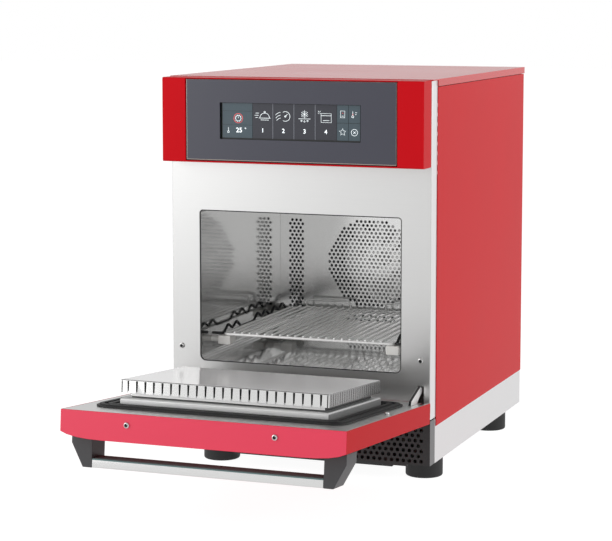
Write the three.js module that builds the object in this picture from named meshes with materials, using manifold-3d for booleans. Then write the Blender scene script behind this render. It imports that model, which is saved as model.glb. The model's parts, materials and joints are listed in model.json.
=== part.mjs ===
// A counter-top high-speed oven with its door open: stainless front frame, red covers, grey control glass,
// perforated chamber back, wire rack and a drop-down door that carries a slotted choke plug.
// Millimetres. X runs to the right seen from the front, Y runs towards the back, Z runs up.
// Pieces are placed from the middle of the front frame's face at floor level. The whole oven is then
// shifted so that its origin is the bottom centre of its own box, with the door open.
import * as THREE from "three";
import { mergeVertices } from "three/addons/utils/BufferGeometryUtils.js";
import Module from "manifold-3d";

const wasm = await Module();
wasm.setup();

// Cabinet
const CABINET_WIDTH = 400;
const CABINET_DEPTH = 498;
const CABINET_HEIGHT = 587.3;
const SHEET = 1.5;
const FIT_GAP = 0.3;
const OVERRUN = 2;
const GRID = 0.0005;
const BASE_HEIGHT = 53.4;
const SKIRT_OVERLAP = 12;
const FRAME_RETURN = 22.9;
const GRILLE_HEIGHT = 67;
const LID_RIM = 10.1;
const LID_SEAM = 0.9;
const REAR_FLANGE = 16;

// Feet
const FOOT_HEIGHT = 35.5;
const FOOT_RADIUS = 28;
const FOOT_EDGE = 3;
const FOOT_BEVEL = 1;
const FOOT_INSET = 38;
const FRONT_FOOT_Y = 95;
const REAR_FOOT_FROM_BACK = 53;
const FOOT_SIDES = 18;

// Chamber
const FRAME_CHEEK = 44;
const MACHINE_SPACE = 195.9;
const REAR_SPACE = 172;
const CHAMBER_ABOVE_BASE = 131.5;
const CHAMBER_LOWER_RADIUS = 8;
const CHAMBER_UPPER_RADIUS = 5;
const LINER_FLANGE = 10;
const INSULATION_THICKNESS = 22;
const INSULATION_START = 26;
const INSULATION_END = 4;

// Perforation of the chamber back and of the intake grille
const BACK_PITCH = 18.4;
const BACK_HOLE_RADIUS = 6;
const FIELD_MARGIN = 31.2;
const FIELD_FROM_STRIP = 10;
const FAN_BELOW_MIDDLE = 1.2;
const STRIP_WIDTH = 30;
const STRIP_FROM_WALL = 17;
const STRIP_ABOVE_FLOOR = 34;
const STRIP_BELOW_TOP = 44.4;
const DRAIN_ABOVE_FLOOR = 12;
const DRAIN_HEIGHT = 18;
const DRAIN_HALF_WIDTH = 42;
const GRILLE_PITCH = 18.6;
const GRILLE_HOLE_RADIUS = 6;
const GRILLE_MARGIN = 9;
const GRILLE_FLANGE = 8;
const HOLE_SIDES = 6;
const ROW_RISE_SHARE = Math.sqrt(0.75);

// Convection fan, heater and motor behind the chamber back
const HOUSING_DEPTH = 72;
const HOUSING_INSET = 7;
const HOUSING_HOLE_RADIUS = 12;
const FAN_INSIDE_FIELD = 6;
const FAN_DISC = 2;
const FAN_BLADE_DEPTH = 30;
const FAN_BLADE_THICKNESS = 1.6;
const FAN_BLADES = 11;
const FAN_BLADE_ROOT = 30;
const FAN_BLADE_LEAN = 16;
const FAN_FROM_PLATE = 12;
const HUB_RADIUS = 11;
const SHAFT_RADIUS = 5;
const RUNNING_GAP = 0.4;
const HEATER_OUTSIDE_FIELD = 18;
const HEATER_TUBE_RADIUS = 4;
const HEATER_LEG_SPACING = 36;
const MOTOR_RADIUS = 42;
const MOTOR_LENGTH = 58;
const MOTOR_FLANGE = 3;
const MOTOR_FLANGE_RADIUS = 50;
const MOTOR_BORE_DEPTH = 14;
const MOTOR_EDGE = 5;

// Rack, its rests and side spacers
const RACK_FROM_WALL = 24;
const RACK_FROM_PLUG = 0.85;
const RACK_FROM_BACK = 16;
const RACK_HEIGHT = 35.5;
const RACK_RAIL_RADIUS = 2.25;
const RACK_ROD_RADIUS = 1.6;
const RACK_WELD = 0.8;
const RACK_PITCH = 12.1;
const STOP_INNER = 30;
const STOP_FROM_SIDE = 28;
const STOP_RISE = 15;
const STOP_BEND = 6;
const WIRE_SIDES = 6;
const REST_WIDTH = 20;
const REST_DEPTH = 22;
const REST_HEIGHT = 13;
const REST_STUD_RADIUS = 4.5;
const SPACER_THICKNESS = 3;
const SPACER_RISE = 12;
const SPACER_PEAK_STEP = 8;
const SPACER_FIRST = 72;
const SPACER_SECOND_FROM_END = 120;

// Fascia, glass and control parts
const FASCIA_DEPTH = 35.6;
const FASCIA_OVERHANG = 0.7;
const FASCIA_BELOW_LID = 0.7;
const FASCIA_HEIGHT = 122.3;
const FASCIA_WALL = 2;
const FASCIA_BEND = 2.5;
const FASCIA_END_BLOCK = 37.7;
const GLASS_BORDER = 2.6;
const GLASS_THICKNESS = 3;
const DISPLAY_HALF_WIDTH = 108;
const DISPLAY_ABOVE_FASCIA_FOOT = 33.5;
const DISPLAY_HEIGHT = 54.5;
const DISPLAY_DEPTH = 7;
const BOARD_INSIDE_GLASS = 31;
const BOARD_HEIGHT = 84;
const BOARD_THICKNESS = 1.6;
const BOARD_STANDOFF = 14;
const POST_RADIUS = 4;
const POST_INSET = 8;
const CHIP_WIDTH = 26;
const CHIP_HEIGHT = 4;
const CHIP_PITCH = 44;
const CHIPS_PER_ROW = 5;

// Door, in its own frame: origin on the hinge axis, +y to the cabinet, +z out of the inner face
const DOOR_TILT_DEG = 5.07;
const HINGE_SETBACK = 17.2;
const HINGE_ABOVE_FRAME_FOOT = 13.7;
const DOOR_BEYOND_AXIS = 12;
const DOOR_FACE_ABOVE_AXIS = 12.7;
const DOOR_TOP_GAP = 3.1;
const DOOR_OVERHANG = 1.7;
const DOOR_EDGE_THICKNESS = 29.5;
const DOOR_THICKNESS = 38;
const CROWN_START_FROM_SIDE = 61.7;
const CROWN_TURN_FROM_SIDE = 15.7;
const DOOR_CROWN_STEPS = 4;
const DOOR_SKIN = 1.5;
const DOOR_LIP_CHAMFER = 1.5;
const INNER_PLATE = 1.2;
const DOOR_WOOL_FROM_SIDE = 66.7;
const DOOR_WOOL_END = 22;

// Gasket, step, core and slotted choke on the door's inner face
const GASKET_BESIDE_MOUTH = 24;
const GASKET_ABOVE_MOUTH = 25.1;
const GASKET_BELOW_MOUTH = 22.5;
const GASKET_RADIUS = 24;
const GASKET_STEP_GAP = 0.8;
const GASKET_BASE = 2.2;
const GASKET_HEIGHT = 4.2;
const GASKET_LIP = 6;
const GASKET_LIP_STEP = 4;
const STEP_SIDE_CLEAR = 6;
const STEP_TOP_CLEAR = 3.4;
const STEP_FLOOR_CLEAR = 4.7;
const STEP_HEIGHT = 11.5;
const STEP_BEVEL = 2;
const CHOKE_SIDE_CLEAR = 8;
const CHOKE_TOP_CLEAR = 7.5;
const CHOKE_FLOOR_CLEAR = 8;
const CHOKE_TOP = 36;
const CHOKE_BOTTOM = 18.8;
const CHOKE_WALL = 1.5;
const CHOKE_SLOT_TOP = 3.4;
const CHOKE_SLOT_FOOT = 2;
const CHOKE_PITCH = 12.62;
const CHOKE_HEM = 1.4;
const CORE_INSET = 11;

// Handle
const HANDLE_FROM_TIP = 21.7;
const HANDLE_DEPTH = 39;
const HANDLE_FROM_SIDE = 6.7;
const BRACKET_WIDTH = 30.5;
const HANDLE_SHOULDER = 46.5;
const BRACKET_FOOT_WIDTH = 13.5;
const HANDLE_REACH = 78.5;
const BAR_THICKNESS = 12.6;
const BAR_DEPTH = 35;
const BAR_ROUND = 2;

// Hinges
const ARM_FROM_SIDE = 17;
const ARM_THICKNESS = 4;
const ARM_BOSS_RADIUS = 9;
const ARM_FOOT_TIP = 33;
const ARM_FOOT_HEEL = 6;
const ARM_FOOT_RISE = 5.8;
const ARM_KNEE = { y: 10, z: 35.5 };
const ARM_TOE = { y: 18, z: 32.5 };
const ARM_TOE_UNDER = { y: 20, z: 28.5 };
const ARM_WAIST = { y: 6, z: 21.5 };
const ARM_SLOT_CLEAR = 2;
const SLOT_BELOW_AXIS = 5.5;
const SLOT_ABOVE_AXIS = 34.8;
const BRACKET_FROM_SIDE = 10;
const BRACKET_THICKNESS = 4;
const BRACKET_NOSE_RADIUS = 7.5;
const BRACKET_BACK = 40;
const BRACKET_ABOVE_AXIS = 43.5;
const BRACKET_FLANGE = 3;
const BRACKET_CLEAR = 1.4;
const PIN_RADIUS = 4;
const PIN_CLEAR = 0.4;
const PIN_END = 1.5;
const PIN_HEAD_RADIUS = 6;
const PIN_HEAD = 2;
const PIN_SIDES = 12;

// Screws and studs
const SCREW_RADIUS = 4;
const SCREW_CROWN_RADIUS = 2.6;
const SCREW_HEAD = 2.2;
const SCREW_SIDES = 12;
const DOOR_SCREW_FROM_SIDE = 97.2;
const DOOR_SCREW_BELOW_FACE = 15;
const FRAME_SCREW_FROM_SIDE = 14.5;
const FRAME_SCREW_ABOVE_FLOOR = 20.5;
const STUD_ACROSS_SHARE = 0.43779;
const STUD_ALONG = 160;
const STUD_RADIUS = 3.4;
const STUD_HEIGHT = 3.4;

// Microwave and cooling parts inside
const DUCT_WIDTH = 90;
const DUCT_HEIGHT = 42;
const DUCT_START = 120;
const DUCT_PAST_BACK = 4;
const CHUTE_WIDTH = 78;
const CHUTE_LENGTH = 60;
const CHUTE_CLEAR = 2;
const MAGNETRON_WIDTH = 84;
const MAGNETRON_DEPTH = 70;
const MAGNETRON_FROM_DUCT_END = 48;
const MAGNETRON_PLATE = 3;
const MAGNETRON_CORE_RADIUS = 20;
const MAGNETRON_FIN = 1.6;
const MAGNETRON_FIN_PITCH = 9;
const MAGNETRON_FINS = 5;
const MAGNETRON_CAP = 18;
const CORE_WIDTH = 80;
const CORE_DEPTH = 62;
const CORE_HEIGHT = 66;
const COIL_BULGE = 14;
const COIL_HEIGHT = 40;
const TRANSFORMER_X = -92;
const TRANSFORMER_Y = 205;
const COOLER_HEADROOM = 13.9;
const COOLER_DEPTH = 38;
const COOLER_RIM = 2.5;
const COOLER_X = 78;
const COOLER_Y = 60;
const COOLER_HUB_RADIUS = 17;
const COOLER_STRUT = 5;
const COOLER_STRUT_DEPTH = 6;
const ROTOR_TIP_GAP = 2.5;
const ROTOR_BLADES = 5;
const ROTOR_BLADE_THICKNESS = 2;
const ROTOR_BLADE_CHORD = 26;
const ROTOR_DEPTH = 22;
const ROTOR_PIN_RADIUS = 3;
const BLADE_PITCH_DEG = 38;

// Filter tray, vents and gland
const FILTER_FROM_FEET = 14;
const FILTER_FRONT = 57;
const FILTER_LENGTH = 280;
const FILTER_THICKNESS = 10;
const FILTER_RIM = 8;
const LIP_BESIDE_TRAY = 11;
const LIP_DROP = 18;
const LIP_CHAMFER = 6;
const RAIL_WALL = 2;
const RAIL_LEDGE = 6;
const VENT_LENGTH = 74;
const VENT_HEIGHT = 6;
const VENT_PITCH = 16;
const BACK_VENT_ROWS = 9;
const BACK_VENT_FROM_TOP = 193.5;
const BACK_VENT_X = 62;
const BASE_VENT_ROWS = 8;
const BASE_VENT_FRONT = 120;
const BASE_VENT_X = 60;
const GLAND_X = -120;
const GLAND_Z = 66;
const GLAND_RADIUS = 13;
const GLAND_NUT = 7;
const GLAND_DOME = 12;
const GLAND_BORE_RADIUS = 5;
const GLAND_SIDES = 6;
const GLAND_DOME_SIDES = 8;

// Derived places of the cabinet
const halfWidth = CABINET_WIDTH / 2;
const baseBottom = FOOT_HEIGHT;
const skirtTop = baseBottom + BASE_HEIGHT;
const lidBottom = CABINET_HEIGHT - LID_RIM;
const lidUnder = CABINET_HEIGHT - SHEET;
const frameTop = lidUnder - FIT_GAP;
const panelOuter = halfWidth + FIT_GAP + SHEET;
const grilleTop = baseBottom + GRILLE_HEIGHT;
const frameBottom = grilleTop + FIT_GAP;
const footX = halfWidth - FOOT_INSET;
const filterHalf = footX - FOOT_RADIUS - FILTER_FROM_FEET;

// Derived places of the chamber, and of what stands behind and above it
const chamberHalf = halfWidth - FRAME_CHEEK;
const chamberFloor = baseBottom + CHAMBER_ABOVE_BASE;
const chamberTop = CABINET_HEIGHT - MACHINE_SPACE;
const chamberDepth = CABINET_DEPTH - REAR_SPACE;
const linerFront = SHEET + FIT_GAP;
const housingY = chamberDepth + SHEET + FIT_GAP;
const housingEnd = housingY + HOUSING_DEPTH;
const fanHeight = (chamberFloor + chamberTop) / 2 - FAN_BELOW_MIDDLE;
const fieldRadius = Math.min(
  (chamberTop - chamberFloor) / 2 - HOUSING_INSET - FIELD_MARGIN,
  chamberHalf - STRIP_FROM_WALL - STRIP_WIDTH - FIELD_FROM_STRIP,
);
const fanRadius = fieldRadius - FAN_INSIDE_FIELD;
const heaterRadius = fieldRadius + HEATER_OUTSIDE_FIELD;
const ductBottom = chamberTop + SHEET + FIT_GAP + INSULATION_THICKNESS + FIT_GAP;
const ductEnd = chamberDepth + DUCT_PAST_BACK;
const magnetronY = ductEnd - MAGNETRON_FROM_DUCT_END;
const rackHalf = chamberHalf - RACK_FROM_WALL;
const rackFront = DOOR_FACE_ABOVE_AXIS - HINGE_SETBACK + CHOKE_TOP + RACK_FROM_PLUG + RACK_RAIL_RADIUS;
const rackBack = chamberDepth - RACK_FROM_BACK;
const rackZ = chamberFloor + RACK_HEIGHT;

// Derived places of the fascia
const fasciaHalf = halfWidth + FASCIA_OVERHANG;
const fasciaTop = CABINET_HEIGHT - FASCIA_BELOW_LID;
const fasciaBottom = fasciaTop - FASCIA_HEIGHT;
const glassHalf = fasciaHalf - FASCIA_END_BLOCK;
const glassBottom = fasciaBottom + GLASS_BORDER;
const glassTop = fasciaTop - GLASS_BORDER;
const boardHalf = glassHalf - BOARD_INSIDE_GLASS;

// Derived places of the door: along() counts from its hinge end, above() from its inner face, and atHeight()
// turns a height on the shut door into a place along it
const hingeHeight = frameBottom + HINGE_ABOVE_FRAME_FOOT;
const doorFoot = hingeHeight - DOOR_BEYOND_AXIS;
const doorLength = fasciaBottom - DOOR_TOP_GAP - doorFoot;
const doorHalf = halfWidth + DOOR_OVERHANG;
const doorTip = DOOR_BEYOND_AXIS - doorLength;
const along = (fromHingeEnd) => DOOR_BEYOND_AXIS - fromHingeEnd;
const above = (height) => DOOR_FACE_ABOVE_AXIS + height;
const atHeight = (height) => along(height - doorFoot);
const gasketHalf = chamberHalf + GASKET_BESIDE_MOUTH;
const gasketBand = Math.min(
  GASKET_BESIDE_MOUTH + STEP_SIDE_CLEAR,
  GASKET_ABOVE_MOUTH + STEP_TOP_CLEAR,
  GASKET_BELOW_MOUTH + STEP_FLOOR_CLEAR,
) - GASKET_STEP_GAP;
const stepHalf = chamberHalf - STEP_SIDE_CLEAR;
const stepSpan = [atHeight(chamberTop - STEP_TOP_CLEAR), atHeight(chamberFloor + STEP_FLOOR_CLEAR)];
const chokeHalf = chamberHalf - CHOKE_SIDE_CLEAR;
const chokeSpan = [atHeight(chamberTop - CHOKE_TOP_CLEAR), atHeight(chamberFloor + CHOKE_FLOOR_CLEAR)];
const handleFront = along(doorLength - HANDLE_FROM_TIP);
const handleOuter = doorHalf - HANDLE_FROM_SIDE;
const handleInner = handleOuter - BRACKET_WIDTH;
const armX = halfWidth - ARM_FROM_SIDE;
const bracketX = halfWidth - BRACKET_FROM_SIDE;
const slotInner = armX - ARM_SLOT_CLEAR;
const slotOuter = armX + ARM_THICKNESS + ARM_SLOT_CLEAR;
const slotLow = hingeHeight - SLOT_BELOW_AXIS;
const slotHigh = hingeHeight + SLOT_ABOVE_AXIS;
const bracketTop = hingeHeight + BRACKET_ABOVE_AXIS;
const noseHoleOuter = bracketX + BRACKET_THICKNESS + BRACKET_CLEAR;

// Solids from three.js geometries, with their points on a fine grid so that faces meant to meet do meet
function solid(geometry) {
  const bare = geometry.clone();
  bare.deleteAttribute("normal");
  bare.deleteAttribute("uv");
  const places = bare.attributes.position.array;
  places.forEach((value, i) => {
    places[i] = Math.round(value / GRID) * GRID;
  });
  const merged = mergeVertices(bare, GRID / 2);
  const index = [...merged.index.array];
  const triangles = [];
  for (let i = 0; i < index.length; i += 3) {
    const [a, b, c] = index.slice(i, i + 3);
    if (a !== b && b !== c && c !== a) triangles.push(a, b, c);
  }
  return new wasm.Manifold(
    new wasm.Mesh({
      numProp: 3,
      vertProperties: new Float32Array(merged.attributes.position.array),
      triVerts: new Uint32Array(triangles),
    }),
  );
}

function geometryOf(body) {
  const mesh = body.getMesh();
  const geometry = new THREE.BufferGeometry();
  geometry.setAttribute("position", new THREE.BufferAttribute(mesh.vertProperties, 3));
  geometry.setIndex(new THREE.BufferAttribute(mesh.triVerts, 1));
  const faceted = geometry.toNonIndexed();
  faceted.computeVertexNormals();
  return faceted;
}

const join = (...bodies) => bodies.reduce((sum, body) => sum.add(body));
const cut = (body, ...tools) => tools.reduce((rest, tool) => rest.subtract(tool), body);

function box(x0, x1, y0, y1, z0, z1) {
  const geometry = new THREE.BoxGeometry(x1 - x0, y1 - y0, z1 - z0);
  geometry.translate((x0 + x1) / 2, (y0 + y1) / 2, (z0 + z1) / 2);
  return solid(geometry);
}

// An outline run along its normal from one depth to another, its holes cut out, then turned by a matrix
function extruded(shape, from, to, turn, curveSegments) {
  const prism = (drawn, start, end) => {
    const settings = { depth: end - start, bevelEnabled: false, curveSegments };
    const geometry = new THREE.ExtrudeGeometry(drawn, settings);
    geometry.translate(0, 0, start);
    geometry.applyMatrix4(turn);
    return solid(geometry);
  };
  const rim = new THREE.Shape(shape.getPoints(curveSegments));
  const holes = shape.holes.map((hole) => new THREE.Shape(hole.getPoints(curveSegments)));
  return cut(prism(rim, from, to), ...holes.map((hole) => prism(hole, from - OVERRUN, to + OVERRUN)));
}

const axes = (u, v, normal) => new THREE.Matrix4().makeBasis(
  new THREE.Vector3(...u), new THREE.Vector3(...v), new THREE.Vector3(...normal),
);
const standing = axes([1, 0, 0], [0, 0, 1], [0, -1, 0]);
const sideways = axes([0, 1, 0], [0, 0, 1], [1, 0, 0]);
const level = axes([1, 0, 0], [0, 1, 0], [0, 0, 1]);

// Outlines drawn in X and Z, in Y and Z, and in X and Y
const alongY = (shape, y0, y1, curves = 2) => extruded(shape, -y1, -y0, standing, curves);
const alongX = (shape, x0, x1, curves = 2) => extruded(shape, x0, x1, sideways, curves);
const alongZ = (shape, z0, z1, curves = 2) => extruded(shape, z0, z1, level, curves);

const outline = (points) => new THREE.Shape(points.map(([u, v]) => new THREE.Vector2(u, v)));
const rectangle = (u0, u1, v0, v1) => outline([[u0, v0], [u1, v0], [u1, v1], [u0, v1]]);

function roundedRectangle(u0, u1, v0, v1, lowRadius, highRadius = lowRadius) {
  const shape = new THREE.Shape();
  shape.moveTo(u0 + lowRadius, v0);
  shape.lineTo(u1 - lowRadius, v0);
  shape.absarc(u1 - lowRadius, v0 + lowRadius, lowRadius, -Math.PI / 2, 0);
  shape.lineTo(u1, v1 - highRadius);
  shape.absarc(u1 - highRadius, v1 - highRadius, highRadius, 0, Math.PI / 2);
  shape.lineTo(u0 + highRadius, v1);
  shape.absarc(u0 + highRadius, v1 - highRadius, highRadius, Math.PI / 2, Math.PI);
  shape.lineTo(u0, v0 + lowRadius);
  shape.absarc(u0 + lowRadius, v0 + lowRadius, lowRadius, Math.PI, 1.5 * Math.PI);
  return shape;
}

function withHoles(shape, holes) {
  shape.holes.push(...holes);
  return shape;
}

function polygon(u, v, radius, sides, turn = 0) {
  const points = [];
  for (let i = 0; i < sides; i++) {
    const angle = turn + (2 * Math.PI * i) / sides;
    points.push([u + radius * Math.cos(angle), v + radius * Math.sin(angle)]);
  }
  return outline(points);
}

// Round bars along each axis
const barY = (x, z, radius, y0, y1, sides) => alongY(polygon(x, z, radius, sides, Math.PI / sides), y0, y1);
const barX = (y, z, radius, x0, x1, sides) => alongX(polygon(y, z, radius, sides, Math.PI / sides), x0, x1);
const barZ = (x, y, radius, z0, z1, sides) => alongZ(polygon(x, y, radius, sides, Math.PI / sides), z0, z1);

// A turned body: profile points are [radius, distance along the axis], axis along +Z
function turned(profile, sides) {
  const points = profile.map(([radius, z]) => new THREE.Vector2(radius, z));
  const geometry = new THREE.LatheGeometry(points, sides);
  geometry.rotateX(Math.PI / 2);
  const body = solid(geometry);
  return body.volume() < 0 ? solid(flipped(geometry)) : body;
}

function flipped(geometry) {
  const turnedOver = geometry.index ? geometry.toNonIndexed() : geometry.clone();
  const p = turnedOver.attributes.position;
  for (let i = 0; i < p.count; i += 3) {
    const [x, y, z] = [p.getX(i), p.getY(i), p.getZ(i)];
    p.setXYZ(i, p.getX(i + 1), p.getY(i + 1), p.getZ(i + 1));
    p.setXYZ(i + 1, x, y, z);
  }
  return turnedOver;
}

// A wire of round section that follows points with bent corners
function wire(points, radius, bend, sides, steps) {
  const path = new THREE.CurvePath();
  const corners = points.map(([x, y, z]) => new THREE.Vector3(x, y, z));
  let from = corners[0];
  for (let i = 1; i < corners.length - 1; i++) {
    const corner = corners[i];
    const before = corner.clone().add(from.clone().sub(corner).setLength(bend));
    const after = corner.clone().add(corners[i + 1].clone().sub(corner).setLength(bend));
    path.add(new THREE.LineCurve3(from, before));
    path.add(new THREE.QuadraticBezierCurve3(before, corner, after));
    from = after;
  }
  path.add(new THREE.LineCurve3(from, corners[corners.length - 1]));
  const section = polygon(0, 0, radius, sides);
  return solid(new THREE.ExtrudeGeometry(section, { steps, extrudePath: path, bevelEnabled: false }));
}

// Hole outlines in staggered rows that cover the rectangle and pass the test
function staggered(u0, u1, v0, v1, pitch, radius, inside = () => true) {
  const holes = [];
  const rise = pitch * ROW_RISE_SHARE;
  const columns = Math.max(0, Math.floor((u1 - u0) / pitch));
  const rows = Math.max(0, Math.floor((v1 - v0) / rise));
  const [middleU, middleV] = [(u0 + u1) / 2, (v0 + v1) / 2];
  for (let row = 0; row <= rows; row++) {
    const v = middleV + (row - rows / 2) * rise;
    const odd = row % 2;
    for (let column = 0; column <= columns - odd; column++) {
      const u = middleU + (column - (columns - odd) / 2) * pitch;
      if (inside(u, v)) holes.push(polygon(u, v, radius, HOLE_SIDES, Math.PI / 2));
    }
  }
  return holes;
}

// Slots of one size in rows and two mirrored columns
function ventSlots(columnU, firstV, rows) {
  const holes = [];
  for (let row = 0; row < rows; row++) {
    const v = firstV + row * VENT_PITCH;
    for (const side of [-1, 1]) {
      const u = side * columnU;
      holes.push(rectangle(u - VENT_LENGTH / 2, u + VENT_LENGTH / 2, v, v + VENT_HEIGHT));
    }
  }
  return holes;
}

// Finishes
const finish = (color, roughness, metalness = 0) =>
  new THREE.MeshStandardMaterial({ color, roughness, metalness });
const redPaint = () => finish(0xc4121c, 0.35);
const stainless = () => finish(0xc9c9c8, 0.32, 0.9);
const brightSteel = () => finish(0xdadada, 0.18, 1);
const blackSteel = () => finish(0x1c1c1d, 0.5, 0.3);
const blackRubber = () => finish(0x151516, 0.8);
const greyGlass = () => finish(0x55565f, 0.12);
const darkGrey = () => finish(0x4b4b4d, 0.45, 0.3);
const zinc = () => finish(0xa9abac, 0.4, 0.8);
const wool = () => finish(0xd8d2bd, 0.95);
const copper = () => finish(0xb26a3c, 0.45, 0.8);
const ceramic = () => finish(0xf1efe9, 0.55);
const board = () => finish(0x1f5a3a, 0.6);

const oven = new THREE.Group();
const door = new THREE.Group();
oven.add(door);

function place(name, body, material, group = oven) {
  const mesh = new THREE.Mesh(geometryOf(body), material);
  mesh.name = name;
  group.add(mesh);
  return mesh;
}

const sides = { left: -1, right: 1 };
const span = (side, inner, outer) => (side > 0 ? [inner, outer] : [-outer, -inner]);

// Base pan: vented floor, side skirts and back skirt
function basePan() {
  const front = SHEET + FIT_GAP;
  const notch = halfWidth - SHEET - FIT_GAP;
  const skirtFront = FRAME_RETURN + FIT_GAP;
  const back = CABINET_DEPTH;
  const floorPlan = outline([
    [-notch, front], [notch, front], [notch, skirtFront], [halfWidth, skirtFront],
    [halfWidth, back], [-halfWidth, back], [-halfWidth, skirtFront], [-notch, skirtFront],
  ]);
  withHoles(floorPlan, ventSlots(BASE_VENT_X, BASE_VENT_FRONT, BASE_VENT_ROWS));
  const inner = halfWidth - SHEET;
  const skirt = outline([
    [-halfWidth, skirtFront], [-halfWidth, back], [halfWidth, back], [halfWidth, skirtFront],
    [inner, skirtFront], [inner, back - SHEET], [-inner, back - SHEET], [-inner, skirtFront],
  ]);
  const tongues = Object.values(sides).map((side) => box(
    ...span(side, inner, halfWidth), skirtFront, back - REAR_FLANGE, skirtTop, skirtTop + SKIRT_OVERLAP,
  ));
  const floor = alongZ(floorPlan, baseBottom, baseBottom + SHEET);
  const pan = join(floor, alongZ(skirt, baseBottom + SHEET, skirtTop), ...tongues);
  const gland = [back - SHEET - OVERRUN, back + OVERRUN];
  return cut(pan, barY(GLAND_X, GLAND_Z, GLAND_BORE_RADIUS + SHEET, ...gland, PIN_SIDES));
}
place("base_pan", basePan(), stainless());

// Feet: rubber, with a softened lower edge
function foot() {
  const top = FOOT_HEIGHT - FIT_GAP;
  return turned([
    [0, 0], [FOOT_RADIUS - FOOT_EDGE, 0], [FOOT_RADIUS - FOOT_BEVEL, FOOT_BEVEL], [FOOT_RADIUS, FOOT_EDGE],
    [FOOT_RADIUS, top], [0, top],
  ], FOOT_SIDES);
}
const footPlaces = { front: FRONT_FOOT_Y, rear: CABINET_DEPTH - REAR_FOOT_FROM_BACK };
for (const [sideName, side] of Object.entries(sides)) {
  for (const [endName, y] of Object.entries(footPlaces)) {
    const mesh = place(`foot_${endName}_${sideName}`, foot(), blackRubber());
    mesh.position.set(side * footX, y, 0);
  }
}

// Front frame: one sheet with the chamber mouth and hinge slots, and a return down each side
function frontFrame() {
  const mouth = roundedRectangle(
    -chamberHalf, chamberHalf, chamberFloor, chamberTop, CHAMBER_LOWER_RADIUS, CHAMBER_UPPER_RADIUS,
  );
  const noseLow = hingeHeight - BRACKET_NOSE_RADIUS - BRACKET_CLEAR;
  const noseHigh = hingeHeight + BRACKET_NOSE_RADIUS + BRACKET_CLEAR;
  const hingeSlots = Object.values(sides).map((side) => outline([
    [side * slotInner, slotLow], [side * slotOuter, slotLow], [side * slotOuter, noseLow],
    [side * noseHoleOuter, noseLow], [side * noseHoleOuter, noseHigh], [side * slotOuter, noseHigh],
    [side * slotOuter, slotHigh], [side * slotInner, slotHigh],
  ]));
  const sheet = withHoles(rectangle(-halfWidth, halfWidth, frameBottom, frameTop), [mouth, ...hingeSlots]);
  const sideReturn = outline([
    [0, baseBottom], [FRAME_RETURN, baseBottom], [FRAME_RETURN, frameTop],
    [SHEET, frameTop], [SHEET, frameBottom], [0, frameBottom],
  ]);
  const returns = Object.values(sides).map((side) => (
    alongX(sideReturn, ...span(side, halfWidth - SHEET, halfWidth))
  ));
  return join(alongY(sheet, 0, SHEET), ...returns);
}
place("front_frame", frontFrame(), stainless());

// Intake grille below the door
function lowerGrille() {
  const edge = halfWidth - SHEET - FIT_GAP;
  const [low, high] = [baseBottom + FIT_GAP, grilleTop];
  const sheet = rectangle(-edge, edge, low, high);
  const holes = staggered(
    -edge + GRILLE_MARGIN, edge - GRILLE_MARGIN, low + GRILLE_MARGIN, high - GRILLE_MARGIN,
    GRILLE_PITCH, GRILLE_HOLE_RADIUS,
  );
  const face = alongY(withHoles(sheet, holes), 0, SHEET);
  return join(face, box(-edge, edge, 0, GRILLE_FLANGE, high - SHEET, high));
}
place("lower_grille", lowerGrille(), blackSteel());

// Painted covers
for (const [sideName, side] of Object.entries(sides)) {
  const [front, back] = [FRAME_RETURN + FIT_GAP, CABINET_DEPTH];
  const inner = panelOuter - SHEET;
  const flangeEnd = inner - REAR_FLANGE;
  const plan = outline([
    [side * inner, front], [side * panelOuter, front], [side * panelOuter, back],
    [side * flangeEnd, back], [side * flangeEnd, back - SHEET], [side * inner, back - SHEET],
  ]);
  place(`side_panel_${sideName}`, alongZ(plan, skirtTop + FIT_GAP, lidBottom - LID_SEAM), redPaint());
}

function topCover() {
  const rearRim = CABINET_DEPTH + FIT_GAP;
  const inner = panelOuter - SHEET;
  const lid = outline([
    [-panelOuter, lidBottom], [-panelOuter, CABINET_HEIGHT], [panelOuter, CABINET_HEIGHT],
    [panelOuter, lidBottom], [inner, lidBottom], [inner, lidUnder], [-inner, lidUnder], [-inner, lidBottom],
  ]);
  const rim = rectangle(-panelOuter, panelOuter, lidBottom, CABINET_HEIGHT);
  return join(alongY(lid, FIT_GAP, rearRim), alongY(rim, rearRim, rearRim + SHEET));
}
place("top_cover", topCover(), redPaint());

function backPanel() {
  const edge = panelOuter - SHEET - REAR_FLANGE - FIT_GAP;
  const sheet = rectangle(-edge, edge, skirtTop + FIT_GAP, frameTop);
  const vents = ventSlots(BACK_VENT_X, frameTop - BACK_VENT_FROM_TOP, BACK_VENT_ROWS);
  return alongY(withHoles(sheet, vents), CABINET_DEPTH - SHEET, CABINET_DEPTH);
}
place("back_panel", backPanel(), zinc());

// Cable gland on the back skirt
function cableGland() {
  const bore = GLAND_BORE_RADIUS;
  const nut = turned([
    [bore, 0], [GLAND_RADIUS, 0], [GLAND_RADIUS, GLAND_NUT], [bore, GLAND_NUT], [bore, 0],
  ], GLAND_SIDES);
  const domeRoot = GLAND_RADIUS - OVERRUN;
  const domeStart = GLAND_NUT - OVERRUN;
  const domeEnd = GLAND_NUT + GLAND_DOME;
  const dome = turned([
    [bore, domeStart], [domeRoot, domeStart], [domeRoot, GLAND_NUT + GLAND_DOME / 2],
    [bore + OVERRUN, domeEnd], [bore, domeEnd], [bore, domeStart],
  ], PIN_SIDES);
  return join(nut, dome);
}
const gland = place("cable_gland", cableGland(), blackRubber());
gland.rotation.x = -Math.PI / 2;
gland.position.set(GLAND_X, CABINET_DEPTH + FIT_GAP, GLAND_Z);

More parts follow.
